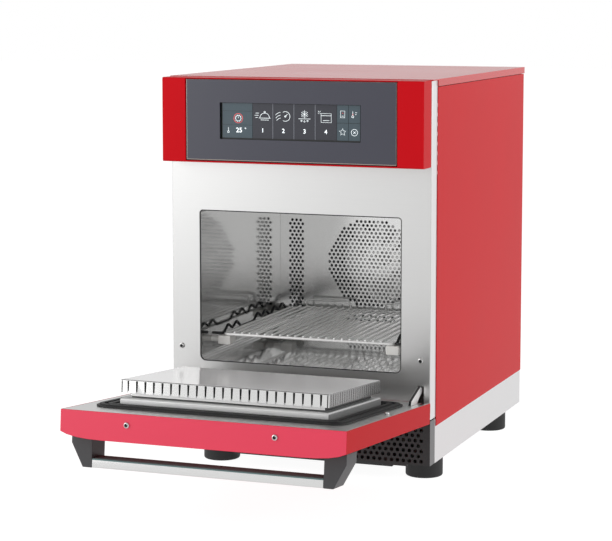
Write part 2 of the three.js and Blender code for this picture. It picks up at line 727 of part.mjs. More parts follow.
// Chamber liner: a seamless sleeve with a flange behind the front frame
function linerSection(grow) {
  return roundedRectangle(
    -chamberHalf - grow, chamberHalf + grow, chamberFloor - grow, chamberTop + grow,
    CHAMBER_LOWER_RADIUS + grow, CHAMBER_UPPER_RADIUS + grow,
  );
}
function chamberLiner() {
  const shell = (grow, y0, y1) => alongY(withHoles(linerSection(grow), [linerSection(0)]), y0, y1);
  const behindFlange = linerFront + SHEET;
  const flange = shell(LINER_FLANGE, linerFront, behindFlange);
  return join(flange, shell(SHEET, behindFlange, chamberDepth - FIT_GAP));
}
place("chamber_liner", chamberLiner(), brightSteel());

// Chamber back: a round field in front of the fan, an outlet strip on each side and a low return field
function chamberBack() {
  const low = chamberFloor;
  const inField = (u, v) => Math.hypot(u, v - fanHeight) <= fieldRadius;
  const holes = staggered(
    -fieldRadius, fieldRadius, fanHeight - fieldRadius, fanHeight + fieldRadius,
    BACK_PITCH, BACK_HOLE_RADIUS, inField,
  );
  for (const side of Object.values(sides)) {
    const [u0, u1] = span(side, chamberHalf - STRIP_FROM_WALL - STRIP_WIDTH, chamberHalf - STRIP_FROM_WALL);
    holes.push(...staggered(
      u0, u1, low + STRIP_ABOVE_FLOOR, chamberTop - STRIP_BELOW_TOP, BACK_PITCH, BACK_HOLE_RADIUS,
    ));
  }
  const drain = staggered(
    -DRAIN_HALF_WIDTH, DRAIN_HALF_WIDTH, low + DRAIN_ABOVE_FLOOR, low + DRAIN_ABOVE_FLOOR + DRAIN_HEIGHT,
    BACK_PITCH, BACK_HOLE_RADIUS,
  );
  const plate = withHoles(linerSection(SHEET), [...holes, ...drain]);
  return alongY(plate, chamberDepth, chamberDepth + SHEET);
}
place("chamber_back", chamberBack(), brightSteel());

// Fan housing behind the chamber back
function fanHousing() {
  const section = (grow) => roundedRectangle(
    -chamberHalf + HOUSING_INSET - grow, chamberHalf - HOUSING_INSET + grow,
    chamberFloor + HOUSING_INSET - grow, chamberTop - HOUSING_INSET + grow, CHAMBER_LOWER_RADIUS,
  );
  const walls = alongY(withHoles(section(0), [section(-SHEET)]), housingY, housingEnd, 2);
  const rear = withHoles(section(0), [polygon(0, fanHeight, HOUSING_HOLE_RADIUS, PIN_SIDES)]);
  return join(walls, alongY(rear, housingEnd - SHEET, housingEnd, 2));
}
place("fan_housing", fanHousing(), zinc());

// Convection fan wheel on its shaft: backing disc and curved blades
function fanWheel() {
  const bladeFront = housingY + FAN_FROM_PLATE;
  const discFront = bladeFront + FAN_BLADE_DEPTH;
  const disc = barY(0, fanHeight, fanRadius, discFront, discFront + FAN_DISC, 2 * FAN_BLADES);
  const hub = barY(0, fanHeight, HUB_RADIUS, bladeFront, discFront + FAN_DISC, PIN_SIDES);
  const shaftEnd = housingEnd + FIT_GAP + MOTOR_BORE_DEPTH;
  const shaft = barY(0, fanHeight, SHAFT_RADIUS, discFront, shaftEnd, PIN_SIDES);
  let wheel = join(disc, hub, shaft);
  for (let i = 0; i < FAN_BLADES; i++) {
    const angle = (2 * Math.PI * i) / FAN_BLADES;
    const at = (radius, lean) => {
      const turn = angle + lean / fanRadius;
      return [radius * Math.cos(turn), fanHeight + radius * Math.sin(turn)];
    };
    const middle = (FAN_BLADE_ROOT + fanRadius) / 2;
    const edge = fanRadius - FAN_DISC;
    const rootThickness = 2 * FAN_BLADE_THICKNESS;
    const blade = outline([
      at(FAN_BLADE_ROOT, 0), at(middle, FAN_BLADE_LEAN / 4), at(edge, FAN_BLADE_LEAN),
      at(edge, FAN_BLADE_LEAN + FAN_BLADE_THICKNESS), at(middle, FAN_BLADE_LEAN / 4 + rootThickness),
      at(FAN_BLADE_ROOT, rootThickness),
    ]);
    wheel = join(wheel, alongY(blade, bladeFront, discFront + FAN_DISC / 2));
  }
  return wheel;
}
place("fan_wheel", fanWheel(), stainless());

// Tubular heater round the fan, with two legs to the housing
function heaterRing() {
  const ring = new THREE.TorusGeometry(heaterRadius, HEATER_TUBE_RADIUS, WIRE_SIDES, 2 * FAN_BLADES);
  ring.rotateX(Math.PI / 2);
  const y = housingY + FAN_FROM_PLATE + FAN_BLADE_DEPTH / 2;
  ring.translate(0, y, fanHeight);
  let heater = solid(ring);
  for (const side of Object.values(sides)) {
    const x = (side * HEATER_LEG_SPACING) / 2;
    const z = fanHeight - Math.sqrt(heaterRadius ** 2 - x ** 2);
    heater = join(heater, barY(x, z, HEATER_TUBE_RADIUS, y, housingEnd - SHEET - FIT_GAP, GLAND_DOME_SIDES));
  }
  return heater;
}
place("heater_ring", heaterRing(), darkGrey());

// Fan motor on the back of the housing, its bore round the shaft
function fanMotor() {
  const front = housingEnd + FIT_GAP;
  const motorCan = turned([
    [SHAFT_RADIUS + RUNNING_GAP, 0], [MOTOR_FLANGE_RADIUS, 0], [MOTOR_FLANGE_RADIUS, MOTOR_FLANGE],
    [MOTOR_RADIUS, MOTOR_FLANGE], [MOTOR_RADIUS, MOTOR_LENGTH - MOTOR_EDGE],
    [MOTOR_RADIUS - MOTOR_EDGE, MOTOR_LENGTH], [0, MOTOR_LENGTH],
    [0, MOTOR_BORE_DEPTH + FIT_GAP], [SHAFT_RADIUS + RUNNING_GAP, MOTOR_BORE_DEPTH + FIT_GAP],
    [SHAFT_RADIUS + RUNNING_GAP, 0],
  ], PIN_SIDES);
  const mesh = place("fan_motor", motorCan, zinc());
  mesh.rotation.x = -Math.PI / 2;
  mesh.position.set(0, front, fanHeight);
}
fanMotor();

// Insulation sleeve round the chamber, open where the microwave duct comes down
function insulation() {
  const inner = linerSection(SHEET + FIT_GAP);
  const outer = linerSection(SHEET + FIT_GAP + INSULATION_THICKNESS);
  const sleeve = alongY(withHoles(outer, [inner]), INSULATION_START, chamberDepth - INSULATION_END);
  const half = CHUTE_WIDTH / 2 + CHUTE_CLEAR;
  const start = DUCT_START + CHUTE_CLEAR;
  const window = box(
    -half, half, start - CHUTE_CLEAR, start + CHUTE_LENGTH + 2 * CHUTE_CLEAR,
    chamberTop - OVERRUN, ductBottom + OVERRUN,
  );
  return cut(sleeve, window);
}
place("chamber_insulation", insulation(), wool());

// Microwave duct and magnetron
function waveguide() {
  const ductHalf = DUCT_WIDTH / 2;
  const duct = box(-ductHalf, ductHalf, DUCT_START, ductEnd, ductBottom, ductBottom + DUCT_HEIGHT);
  const start = DUCT_START + 2 * CHUTE_CLEAR;
  const chute = box(
    -CHUTE_WIDTH / 2, CHUTE_WIDTH / 2, start, start + CHUTE_LENGTH - CHUTE_CLEAR,
    chamberTop + SHEET + FIT_GAP, ductBottom + OVERRUN,
  );
  return join(duct, chute);
}
place("waveguide", waveguide(), zinc());

function magnetron() {
  const bottom = ductBottom + DUCT_HEIGHT + FIT_GAP;
  const half = MAGNETRON_WIDTH / 2;
  const [y0, y1] = [magnetronY - MAGNETRON_DEPTH / 2, magnetronY + MAGNETRON_DEPTH / 2];
  const floor = bottom + MAGNETRON_PLATE;
  const top = floor + (MAGNETRON_FINS + 1) * MAGNETRON_FIN_PITCH;
  const gaps = [];
  for (let i = 0; i <= MAGNETRON_FINS; i++) {
    const z = floor + i * MAGNETRON_FIN_PITCH;
    gaps.push(rectangle(-half + SHEET, half - SHEET, z, z + MAGNETRON_FIN_PITCH - MAGNETRON_FIN));
  }
  const stack = alongY(withHoles(rectangle(-half, half, bottom, top), gaps), y0, y1);
  const core = barZ(0, magnetronY, MAGNETRON_CORE_RADIUS, floor - SHEET, top - MAGNETRON_FIN / 2, PIN_SIDES);
  const cap = box(
    -MAGNETRON_CORE_RADIUS, MAGNETRON_CORE_RADIUS, magnetronY - MAGNETRON_CORE_RADIUS,
    magnetronY + MAGNETRON_CORE_RADIUS, top, top + MAGNETRON_CAP,
  );
  return join(stack, core, cap);
}
place("magnetron", magnetron(), zinc());

// High-voltage transformer: laminated core with a winding bulging at both ends
function transformer() {
  const bottom = baseBottom + SHEET + FIT_GAP;
  const [x0, x1] = [TRANSFORMER_X - CORE_WIDTH / 2, TRANSFORMER_X + CORE_WIDTH / 2];
  const [y0, y1] = [TRANSFORMER_Y - CORE_DEPTH / 2, TRANSFORMER_Y + CORE_DEPTH / 2];
  const coilLow = bottom + (CORE_HEIGHT - COIL_HEIGHT) / 2;
  const coil = roundedRectangle(
    x0 + COIL_BULGE / 2, x1 - COIL_BULGE / 2, y0 - COIL_BULGE, y1 + COIL_BULGE, COIL_BULGE, COIL_BULGE,
  );
  const core = box(x0, x1, y0, y1, bottom, bottom + CORE_HEIGHT);
  return join(core, alongZ(coil, coilLow, coilLow + COIL_HEIGHT, 2));
}
place("transformer", transformer(), copper());

// Cooling fan behind the intake grille: frame with struts, and a bladed rotor
const coolerFoot = baseBottom + SHEET + FIT_GAP;
const insulationFoot = chamberFloor - SHEET - FIT_GAP - INSULATION_THICKNESS;
const coolerSize = insulationFoot - COOLER_HEADROOM - coolerFoot;
const coolerBore = coolerSize / 2 - COOLER_RIM;
const coolerZ = coolerFoot + coolerSize / 2;
function coolerFrame() {
  const half = coolerSize / 2;
  const ring = withHoles(
    roundedRectangle(COOLER_X - half, COOLER_X + half, coolerZ - half, coolerZ + half, COOLER_STRUT),
    [polygon(COOLER_X, coolerZ, coolerBore, 2 * FAN_BLADES)],
  );
  const end = COOLER_Y + COOLER_DEPTH;
  const strutStart = end - COOLER_STRUT_DEPTH;
  const across = box(
    COOLER_X - half + COOLER_STRUT / 2, COOLER_X + half - COOLER_STRUT / 2, strutStart, end,
    coolerZ - COOLER_STRUT / 2, coolerZ + COOLER_STRUT / 2,
  );
  const upright = box(
    COOLER_X - COOLER_STRUT / 2, COOLER_X + COOLER_STRUT / 2, strutStart, end,
    coolerZ - half + COOLER_STRUT / 2, coolerZ + half - COOLER_STRUT / 2,
  );
  const seat = barY(COOLER_X, coolerZ, COOLER_HUB_RADIUS, strutStart, end, PIN_SIDES);
  const boreRadius = ROTOR_PIN_RADIUS + RUNNING_GAP;
  const bore = barY(COOLER_X, coolerZ, boreRadius, strutStart - OVERRUN, end + OVERRUN, PIN_SIDES);
  return cut(join(alongY(ring, COOLER_Y, end, 2), across, upright, seat), bore);
}
place("cooling_fan_frame", coolerFrame(), blackSteel());

function coolerRotor() {
  const end = COOLER_Y + COOLER_DEPTH - COOLER_STRUT_DEPTH - RUNNING_GAP;
  const start = end - ROTOR_DEPTH;
  const pinEnd = COOLER_Y + COOLER_DEPTH - FIT_GAP;
  const pin = barY(COOLER_X, coolerZ, ROTOR_PIN_RADIUS, end - OVERRUN, pinEnd, PIN_SIDES);
  let rotor = join(barY(COOLER_X, coolerZ, COOLER_HUB_RADIUS, start, end, PIN_SIDES), pin);
  for (let i = 0; i < ROTOR_BLADES; i++) {
    const reach = coolerBore - ROTOR_TIP_GAP - COOLER_HUB_RADIUS + OVERRUN;
    const blade = new THREE.BoxGeometry(reach, ROTOR_BLADE_CHORD, ROTOR_BLADE_THICKNESS);
    blade.rotateX(THREE.MathUtils.degToRad(BLADE_PITCH_DEG));
    blade.translate(COOLER_HUB_RADIUS - OVERRUN + reach / 2, (start + end) / 2, 0);
    blade.rotateY((2 * Math.PI * i) / ROTOR_BLADES);
    blade.translate(COOLER_X, 0, coolerZ);
    rotor = join(rotor, solid(blade));
  }
  return rotor;
}
place("cooling_fan_rotor", coolerRotor(), blackRubber());

// Wire rack: rails, welded rods and two raised back stops
function wireRack() {
  const [x0, x1] = [-rackHalf, rackHalf];
  const end = RACK_RAIL_RADIUS;
  let rack = join(
    barX(rackFront, rackZ, RACK_RAIL_RADIUS, x0 - end, x1 + end, WIRE_SIDES),
    barX(rackBack, rackZ, RACK_RAIL_RADIUS, x0 - end, x1 + end, WIRE_SIDES),
    barY(x0, rackZ, RACK_RAIL_RADIUS, rackFront - end, rackBack + end, WIRE_SIDES),
    barY(x1, rackZ, RACK_RAIL_RADIUS, rackFront - end, rackBack + end, WIRE_SIDES),
  );
  const rodZ = rackZ + RACK_RAIL_RADIUS + RACK_ROD_RADIUS - RACK_WELD;
  const count = Math.floor((2 * rackHalf) / RACK_PITCH);
  for (let i = 1; i < count; i++) {
    const x = (i - count / 2) * RACK_PITCH;
    rack = join(rack, barY(x, rodZ, RACK_ROD_RADIUS, rackFront - end, rackBack + end, WIRE_SIDES));
  }
  for (const side of Object.values(sides)) {
    const top = rackZ + STOP_RISE;
    const stopOuter = rackHalf - STOP_FROM_SIDE;
    const stop = wire([
      [side * STOP_INNER, rackBack, rackZ], [side * STOP_INNER, rackBack, top],
      [side * stopOuter, rackBack, top], [side * stopOuter, rackBack, rackZ],
    ], RACK_ROD_RADIUS, STOP_BEND, WIRE_SIDES, PIN_SIDES);
    rack = join(rack, stop);
  }
  return rack;
}
place("wire_rack", wireRack(), brightSteel());

// Black side spacers: a strip on each side of the rack that rises in two pairs of peaks
function spacer(side) {
  const low = rackZ;
  const high = low + SPACER_RISE;
  const centre = [[rackFront, low]];
  for (const start of [SPACER_FIRST, rackBack - SPACER_SECOND_FROM_END]) {
    [low, high, low + SPACER_THICKNESS, high, low].forEach((z, i) => {
      centre.push([start + i * SPACER_PEAK_STEP, z]);
    });
  }
  centre.push([rackBack, low]);
  const half = SPACER_THICKNESS / 2;
  const shifted = (sign) => centre.map(([y, z], i) => {
    const [py, pz] = centre[Math.max(0, i - 1)];
    const [ny, nz] = centre[Math.min(centre.length - 1, i + 1)];
    const length = Math.hypot(ny - py, nz - pz);
    return [y - (sign * half * (nz - pz)) / length, z + (sign * half * (ny - py)) / length];
  });
  const inner = rackHalf + RACK_RAIL_RADIUS + FIT_GAP;
  const strip = outline([...shifted(-1), ...shifted(1).reverse()]);
  return alongX(strip, ...span(side, inner, inner + SPACER_THICKNESS));
}
for (const [sideName, side] of Object.entries(sides)) {
  place(`rack_spacer_${sideName}`, spacer(side), blackSteel());
}

// White rack rests: a block on a stud from the side wall
const restTop = rackZ - RACK_RAIL_RADIUS - FIT_GAP;
function rackRest(side, y) {
  const middle = rackHalf;
  const [x0, x1] = span(side, middle - REST_WIDTH / 2, middle + REST_WIDTH / 2);
  const block = alongX(
    roundedRectangle(y, y + REST_DEPTH, restTop - REST_HEIGHT, restTop, SHEET, SHEET), x0, x1, 1,
  );
  const [s0, s1] = span(side, middle, chamberHalf - FIT_GAP);
  const stud = barX(y + REST_DEPTH / 2, restTop - REST_HEIGHT / 2, REST_STUD_RADIUS, s0, s1, WIRE_SIDES);
  return join(block, stud);
}
for (const [sideName, side] of Object.entries(sides)) {
  place(`rack_rest_front_${sideName}`, rackRest(side, rackFront - RACK_RAIL_RADIUS), ceramic());
  place(`rack_rest_rear_${sideName}`, rackRest(side, rackBack - REST_DEPTH), ceramic());
}

// Fascia shell with its window, and the glass flush in it
function fasciaShell() {
  const [low, high] = [fasciaBottom, fasciaTop];
  const outer = alongX(
    roundedRectangle(-FASCIA_DEPTH, -FIT_GAP, low, high, FASCIA_BEND), -fasciaHalf, fasciaHalf, 2,
  );
  const pocket = box(
    -fasciaHalf + FASCIA_WALL, fasciaHalf - FASCIA_WALL,
    -FASCIA_DEPTH + FASCIA_WALL, OVERRUN, low + FASCIA_WALL, high - FASCIA_WALL,
  );
  const window = box(
    -glassHalf - FIT_GAP, glassHalf + FIT_GAP, -FASCIA_DEPTH - OVERRUN, -FASCIA_DEPTH + GLASS_THICKNESS,
    glassBottom - FIT_GAP, glassTop + FIT_GAP,
  );
  return cut(outer, pocket, window);
}
place("fascia_shell", fasciaShell(), redPaint());

const glassBack = -FASCIA_DEPTH + GLASS_THICKNESS;
const displayBottom = fasciaBottom + DISPLAY_ABOVE_FASCIA_FOOT;
place(
  "control_glass",
  box(-glassHalf, glassHalf, -FASCIA_DEPTH, glassBack, glassBottom, glassTop),
  greyGlass(),
);
place(
  "display_module",
  box(
    -DISPLAY_HALF_WIDTH, DISPLAY_HALF_WIDTH, glassBack + FIT_GAP, glassBack + FIT_GAP + DISPLAY_DEPTH,
    displayBottom, displayBottom + DISPLAY_HEIGHT,
  ),
  blackSteel(),
);

// Control board on four posts in front of the frame
function controlBoard() {
  const middle = (fasciaBottom + fasciaTop) / 2;
  const [low, high] = [middle - BOARD_HEIGHT / 2, middle + BOARD_HEIGHT / 2];
  const back = -FIT_GAP - BOARD_STANDOFF;
  let body = box(-boardHalf, boardHalf, back - BOARD_THICKNESS, back, low, high);
  for (const side of Object.values(sides)) {
    for (const z of [low + POST_INSET, high - POST_INSET]) {
      const x = side * (boardHalf - POST_INSET);
      body = join(body, barY(x, z, POST_RADIUS, back - BOARD_THICKNESS / 2, -FIT_GAP, WIRE_SIDES));
    }
  }
  for (let i = 0; i < CHIPS_PER_ROW; i++) {
    const x = (i - (CHIPS_PER_ROW - 1) / 2) * CHIP_PITCH;
    body = join(body, box(
      x - CHIP_WIDTH / 2, x + CHIP_WIDTH / 2, back - BOARD_THICKNESS / 2, back + CHIP_HEIGHT,
      middle - CHIP_WIDTH / 2, middle + CHIP_WIDTH / 2,
    ));
  }
  return body;
}
place("control_board", controlBoard(), board());

// Filter tray under the base, with a chamfered front lip, on two rails
const filterTop = baseBottom - FIT_GAP;
function filterTray() {
  const [x0, x1] = [-filterHalf, filterHalf];
  const end = FILTER_FRONT + FILTER_LENGTH;
  const slab = box(x0, x1, FILTER_FRONT - SHEET / 2, end, filterTop - FILTER_THICKNESS, filterTop);
  const well = box(
    x0 + FILTER_RIM, x1 - FILTER_RIM, FILTER_FRONT + FILTER_RIM, end - FILTER_RIM,
    filterTop - FILTER_THICKNESS / 2, filterTop + OVERRUN,
  );
  const low = filterTop - LIP_DROP;
  const lipHalf = filterHalf + LIP_BESIDE_TRAY;
  const lip = outline([
    [-lipHalf + LIP_CHAMFER, low], [lipHalf - LIP_CHAMFER, low], [lipHalf, low + LIP_CHAMFER],
    [lipHalf, filterTop], [-lipHalf, filterTop], [-lipHalf, low + LIP_CHAMFER],
  ]);
  return join(cut(slab, well), alongY(lip, FILTER_FRONT - SHEET, FILTER_FRONT));
}
place("filter_tray", filterTray(), blackSteel());

for (const [sideName, side] of Object.entries(sides)) {
  const inner = filterHalf + RUNNING_GAP;
  const under = filterTop - FILTER_THICKNESS - RUNNING_GAP;
  const [outer, ledge, foot] = [inner + RAIL_WALL, inner - RAIL_LEDGE, under - RAIL_WALL];
  const rail = outline([
    [side * inner, filterTop], [side * outer, filterTop], [side * outer, foot],
    [side * ledge, foot], [side * ledge, under], [side * inner, under],
  ]);
  const start = FILTER_FRONT + OVERRUN;
  place(`filter_rail_${sideName}`, alongY(rail, start, FILTER_FRONT + FILTER_LENGTH), zinc());
}

// Hinge brackets on the frame, with a nose that holds the pin in front of it
function hingeBracket(side) {
  const [x0, x1] = span(side, bracketX, bracketX + BRACKET_THICKNESS);
  const [low, high] = [hingeHeight - BRACKET_NOSE_RADIUS, hingeHeight + BRACKET_NOSE_RADIUS];
  const web = alongX(outline([
    [-HINGE_SETBACK, low], [BRACKET_BACK, low], [BRACKET_BACK, high],
    [linerFront + BRACKET_BACK / 4, bracketTop], [linerFront, bracketTop],
    [linerFront, high], [-HINGE_SETBACK, high],
  ]), x0, x1);
  const nose = barX(-HINGE_SETBACK, hingeHeight, BRACKET_NOSE_RADIUS, x0, x1, PIN_SIDES);
  const flangeSpan = span(side, bracketX, halfWidth - SHEET - FIT_GAP);
  const flange = box(...flangeSpan, linerFront, linerFront + BRACKET_FLANGE, noseClear(), bracketTop);
  const boreRadius = PIN_RADIUS + PIN_CLEAR;
  const bore = barX(-HINGE_SETBACK, hingeHeight, boreRadius, x0 - OVERRUN, x1 + OVERRUN, PIN_SIDES);
  return cut(join(web, nose, flange), bore);
}
function noseClear() {
  return hingeHeight + BRACKET_NOSE_RADIUS + BRACKET_CLEAR;
}
function hingePin(side) {
  const outer = bracketX + BRACKET_THICKNESS + PIN_END;
  const inner = armX - PIN_END;
  const onAxis = (radius, end) => (
    barX(-HINGE_SETBACK, hingeHeight, radius, ...span(side, inner - PIN_HEAD, end), PIN_SIDES)
  );
  return join(onAxis(PIN_RADIUS, outer), onAxis(PIN_HEAD_RADIUS, inner));
}
for (const [sideName, side] of Object.entries(sides)) {
  place(`hinge_bracket_${sideName}`, hingeBracket(side), zinc());
  place(`hinge_pin_${sideName}`, hingePin(side), stainless());
}

// Screw with a domed head, its seat at the origin and its axis along +Z
const screwHead = () => turned([
  [0, 0], [SCREW_RADIUS, 0], [SCREW_RADIUS, SCREW_HEAD / 2],
  [SCREW_CROWN_RADIUS, SCREW_HEAD], [0, SCREW_HEAD],
], SCREW_SIDES);
const frameScrewX = halfWidth - FRAME_SCREW_FROM_SIDE;
const frameScrewZ = chamberFloor + FRAME_SCREW_ABOVE_FLOOR;
for (const [sideName, side] of Object.entries(sides)) {
  const mesh = place(`frame_screw_${sideName}`, screwHead(), stainless());
  mesh.rotation.x = Math.PI / 2;
  mesh.position.set(side * frameScrewX, -FIT_GAP, frameScrewZ);
}

// Door skin: a painted tray whose outer face is crowned towards both sides
function doorSection(grow, open) {
  const face = open ? DOOR_FACE_ABOVE_AXIS + OVERRUN : DOOR_FACE_ABOVE_AXIS;
  const edge = doorHalf + grow;
  const edgeZ = above(-DOOR_EDGE_THICKNESS - grow);
  const flatZ = above(-DOOR_THICKNESS - grow);
  const start = doorHalf - CROWN_START_FROM_SIDE;
  const turn = doorHalf - CROWN_TURN_FROM_SIDE;
  const shape = new THREE.Shape();
  shape.moveTo(edge, face);
  shape.lineTo(-edge, face);
  shape.lineTo(-edge, edgeZ);
  shape.quadraticCurveTo(-turn, flatZ, -start, flatZ);
  shape.lineTo(start, flatZ);
  shape.quadraticCurveTo(turn, flatZ, edge, edgeZ);
  return shape;
}
function doorSkin() {
  const outer = alongY(doorSection(0, false), doorTip, DOOR_BEYOND_AXIS, DOOR_CROWN_STEPS);
  const pocket = alongY(
    doorSection(-DOOR_SKIN, true), doorTip + DOOR_SKIN, DOOR_BEYOND_AXIS - DOOR_SKIN, DOOR_CROWN_STEPS,
  );
  const face = DOOR_FACE_ABOVE_AXIS;
  const past = DOOR_BEYOND_AXIS + OVERRUN;
  const chamfer = alongX(outline([
    [DOOR_BEYOND_AXIS - DOOR_LIP_CHAMFER - OVERRUN, face + OVERRUN],
    [past, face - DOOR_LIP_CHAMFER - OVERRUN], [past, face + OVERRUN],
  ]), -doorHalf - OVERRUN, doorHalf + OVERRUN);
  const notches = Object.values(sides).map((side) => box(
    ...span(side, bracketX - BRACKET_CLEAR, noseHoleOuter),
    DOOR_BEYOND_AXIS - DOOR_SKIN - OVERRUN, past,
    -BRACKET_NOSE_RADIUS - 2 * BRACKET_CLEAR, face + OVERRUN,
  ));
  return cut(outer, pocket, chamfer, ...notches);
}
place("door_skin", doorSkin(), redPaint(), door);

// Inner plate, slotted for the hinge arms and notched for the bracket noses
function doorInnerPlate() {
  const edge = doorHalf - DOOR_SKIN - FIT_GAP;
  const end = DOOR_BEYOND_AXIS - DOOR_SKIN - FIT_GAP;
  const [low, high] = [DOOR_FACE_ABOVE_AXIS - INNER_PLATE, DOOR_FACE_ABOVE_AXIS];
  const plate = box(-edge, edge, doorTip + DOOR_SKIN + FIT_GAP, end, low, high);
  const openings = Object.values(sides).flatMap((side) => [
    box(
      ...span(side, slotInner, slotOuter), -ARM_FOOT_TIP - FIT_GAP, -ARM_FOOT_HEEL + FIT_GAP,
      low - OVERRUN, high + OVERRUN,
    ),
    box(
      ...span(side, bracketX - BRACKET_CLEAR, noseHoleOuter), -BRACKET_NOSE_RADIUS - 2 * BRACKET_CLEAR,
      end + OVERRUN, low - OVERRUN, high + OVERRUN,
    ),
  ]);
  return cut(plate, ...openings);
}
place("door_inner_plate", doorInnerPlate(), stainless(), door);

const doorWoolHalf = doorHalf - DOOR_WOOL_FROM_SIDE;
place(
  "door_insulation",
  box(
    -doorWoolHalf, doorWoolHalf, doorTip + DOOR_WOOL_END, -DOOR_WOOL_END,
    above(-DOOR_THICKNESS) + DOOR_SKIN + FIT_GAP, DOOR_FACE_ABOVE_AXIS - INNER_PLATE - FIT_GAP,
  ),
  wool(),
  door,
);

// Gasket: a flat band with a raised lip along each edge
function doorGasket() {
  const ring = (inset, band, low, high) => {
    const section = (grow) => roundedRectangle(
      -gasketHalf + inset + grow, gasketHalf - inset - grow,
      atHeight(chamberTop + GASKET_ABOVE_MOUTH) + inset + grow,
      atHeight(chamberFloor - GASKET_BELOW_MOUTH) - inset - grow,
      Math.max(GASKET_RADIUS - inset - grow, FOOT_EDGE),
    );
    return alongZ(withHoles(section(0), [section(band)]), above(low), above(high));
  };
  const root = GASKET_BASE / 2;
  return join(
    ring(0, gasketBand, FIT_GAP, GASKET_BASE),
    ring(GASKET_LIP_STEP, GASKET_LIP, root, GASKET_HEIGHT),
    ring(gasketBand / 2 + GASKET_LIP_STEP / 2, GASKET_LIP, root, GASKET_HEIGHT),
  );
}
place("door_gasket", doorGasket(), blackRubber(), door);

// Raised step under the choke, with a bevelled upper edge
function doorStep() {
  const low = above(FIT_GAP);
  const high = above(STEP_HEIGHT);
  const [y0, y1] = stepSpan;
  const shape = rectangle(-stepHalf + STEP_BEVEL, stepHalf - STEP_BEVEL, y0 + STEP_BEVEL, y1 - STEP_BEVEL);
  const cap = new THREE.ExtrudeGeometry(shape, {
    depth: high - low - 2 * STEP_BEVEL, bevelEnabled: true, bevelSegments: 1,
    bevelSize: STEP_BEVEL, bevelThickness: STEP_BEVEL,
  });
  cap.translate(0, 0, low + STEP_BEVEL);
  const foot = box(-stepHalf, stepHalf, y0, y1, low, low + 2 * STEP_BEVEL);
  return join(solid(cap), foot);
}
place("door_step", doorStep(), stainless(), door);

place(
  "choke_core",
  box(
    -chokeHalf + CORE_INSET, chokeHalf - CORE_INSET,
    chokeSpan[0] + CORE_INSET, chokeSpan[1] - CORE_INSET,
    above(STEP_HEIGHT + FIT_GAP), above(CHOKE_TOP - CHOKE_WALL - FIT_GAP),
  ),
  blackSteel(),
  door,
);

// Slotted choke: a cover plate whose four sides are combs of fingers with slots that narrow to their feet
function comb(middle, half) {
  const [low, high] = [above(CHOKE_BOTTOM), above(CHOKE_TOP)];
  const hem = high - CHOKE_WALL - CHOKE_HEM;
  const count = Math.max(1, Math.floor((2 * half) / CHOKE_PITCH));
  const points = [[middle - half, high], [middle - half, low]];
  for (let i = 0; i < count; i++) {
    const u = middle + (i - (count - 1) / 2) * CHOKE_PITCH;
    points.push(
      [u - CHOKE_SLOT_FOOT / 2, low], [u - CHOKE_SLOT_TOP / 2, hem],
      [u + CHOKE_SLOT_TOP / 2, hem], [u + CHOKE_SLOT_FOOT / 2, low],
    );
  }
  points.push([middle + half, low], [middle + half, high]);
  return outline(points);
}
function chokeComb() {
  const [y0, y1] = chokeSpan;
  let body = box(
    -chokeHalf, chokeHalf, y0, y1, above(CHOKE_TOP - CHOKE_WALL), above(CHOKE_TOP),
  );
  const wide = comb(0, chokeHalf);
  const deep = comb((y0 + y1) / 2, (y1 - y0) / 2);
  body = join(body, alongY(wide, y0, y0 + CHOKE_WALL), alongY(wide, y1 - CHOKE_WALL, y1));
  for (const side of Object.values(sides)) {
    body = join(body, alongX(deep, ...span(side, chokeHalf - CHOKE_WALL, chokeHalf)));
  }
  return body;
}
place("choke_comb", chokeComb(), brightSteel(), door);

// Handle: two tapered brackets and a flat bar
function handleBracket(side) {
  const root = above(-DOOR_EDGE_THICKNESS);
  const shape = outline([
    [side * handleInner, root], [side * handleOuter, root], [side * handleOuter, above(-HANDLE_SHOULDER)],
    [side * (handleInner + BRACKET_FOOT_WIDTH), above(-HANDLE_REACH)],
    [side * handleInner, above(-HANDLE_REACH)],
  ]);
  const body = alongY(shape, handleFront, handleFront + HANDLE_DEPTH);
  const seat = alongY(doorSection(FIT_GAP, true), doorTip - OVERRUN, DOOR_BEYOND_AXIS, DOOR_CROWN_STEPS);
  return cut(body, seat);
}
for (const [sideName, side] of Object.entries(sides)) {
  place(`handle_bracket_${sideName}`, handleBracket(side), darkGrey(), door);
}
function handleBar() {
  const y0 = handleFront;
  const z0 = above(-HANDLE_REACH);
  const reach = handleInner - FIT_GAP;
  return alongX(roundedRectangle(y0, y0 + BAR_DEPTH, z0, z0 + BAR_THICKNESS, BAR_ROUND), -reach, reach, 2);
}
place("handle_bar", handleBar(), brightSteel(), door);

// Hinge arm: boss round the pin, foot through the inner plate and a hooked toe through the frame's slot
function hingeArm(side) {
  const [x0, x1] = span(side, armX, armX + ARM_THICKNESS);
  const plate = DOOR_FACE_ABOVE_AXIS;
  const web = alongX(outline([
    [0, -ARM_BOSS_RADIUS], [-ARM_FOOT_TIP, 0], [-ARM_FOOT_TIP, plate + SHEET],
    [-ARM_FOOT_TIP + SHEET, plate + ARM_FOOT_RISE], [ARM_KNEE.y, ARM_KNEE.z], [ARM_TOE.y, ARM_TOE.z],
    [ARM_TOE_UNDER.y, ARM_TOE_UNDER.z], [ARM_WAIST.y, ARM_WAIST.z], [-ARM_FOOT_HEEL, plate],
    [-ARM_FOOT_HEEL, ARM_BOSS_RADIUS], [0, ARM_BOSS_RADIUS],
  ]), x0, x1);
  const boss = barX(0, 0, ARM_BOSS_RADIUS, x0, x1, PIN_SIDES);
  const bore = barX(0, 0, PIN_RADIUS + PIN_CLEAR, x0 - OVERRUN, x1 + OVERRUN, PIN_SIDES);
  return cut(join(web, boss), bore);
}
for (const [sideName, side] of Object.entries(sides)) {
  place(`hinge_arm_${sideName}`, hingeArm(side), zinc(), door);
}

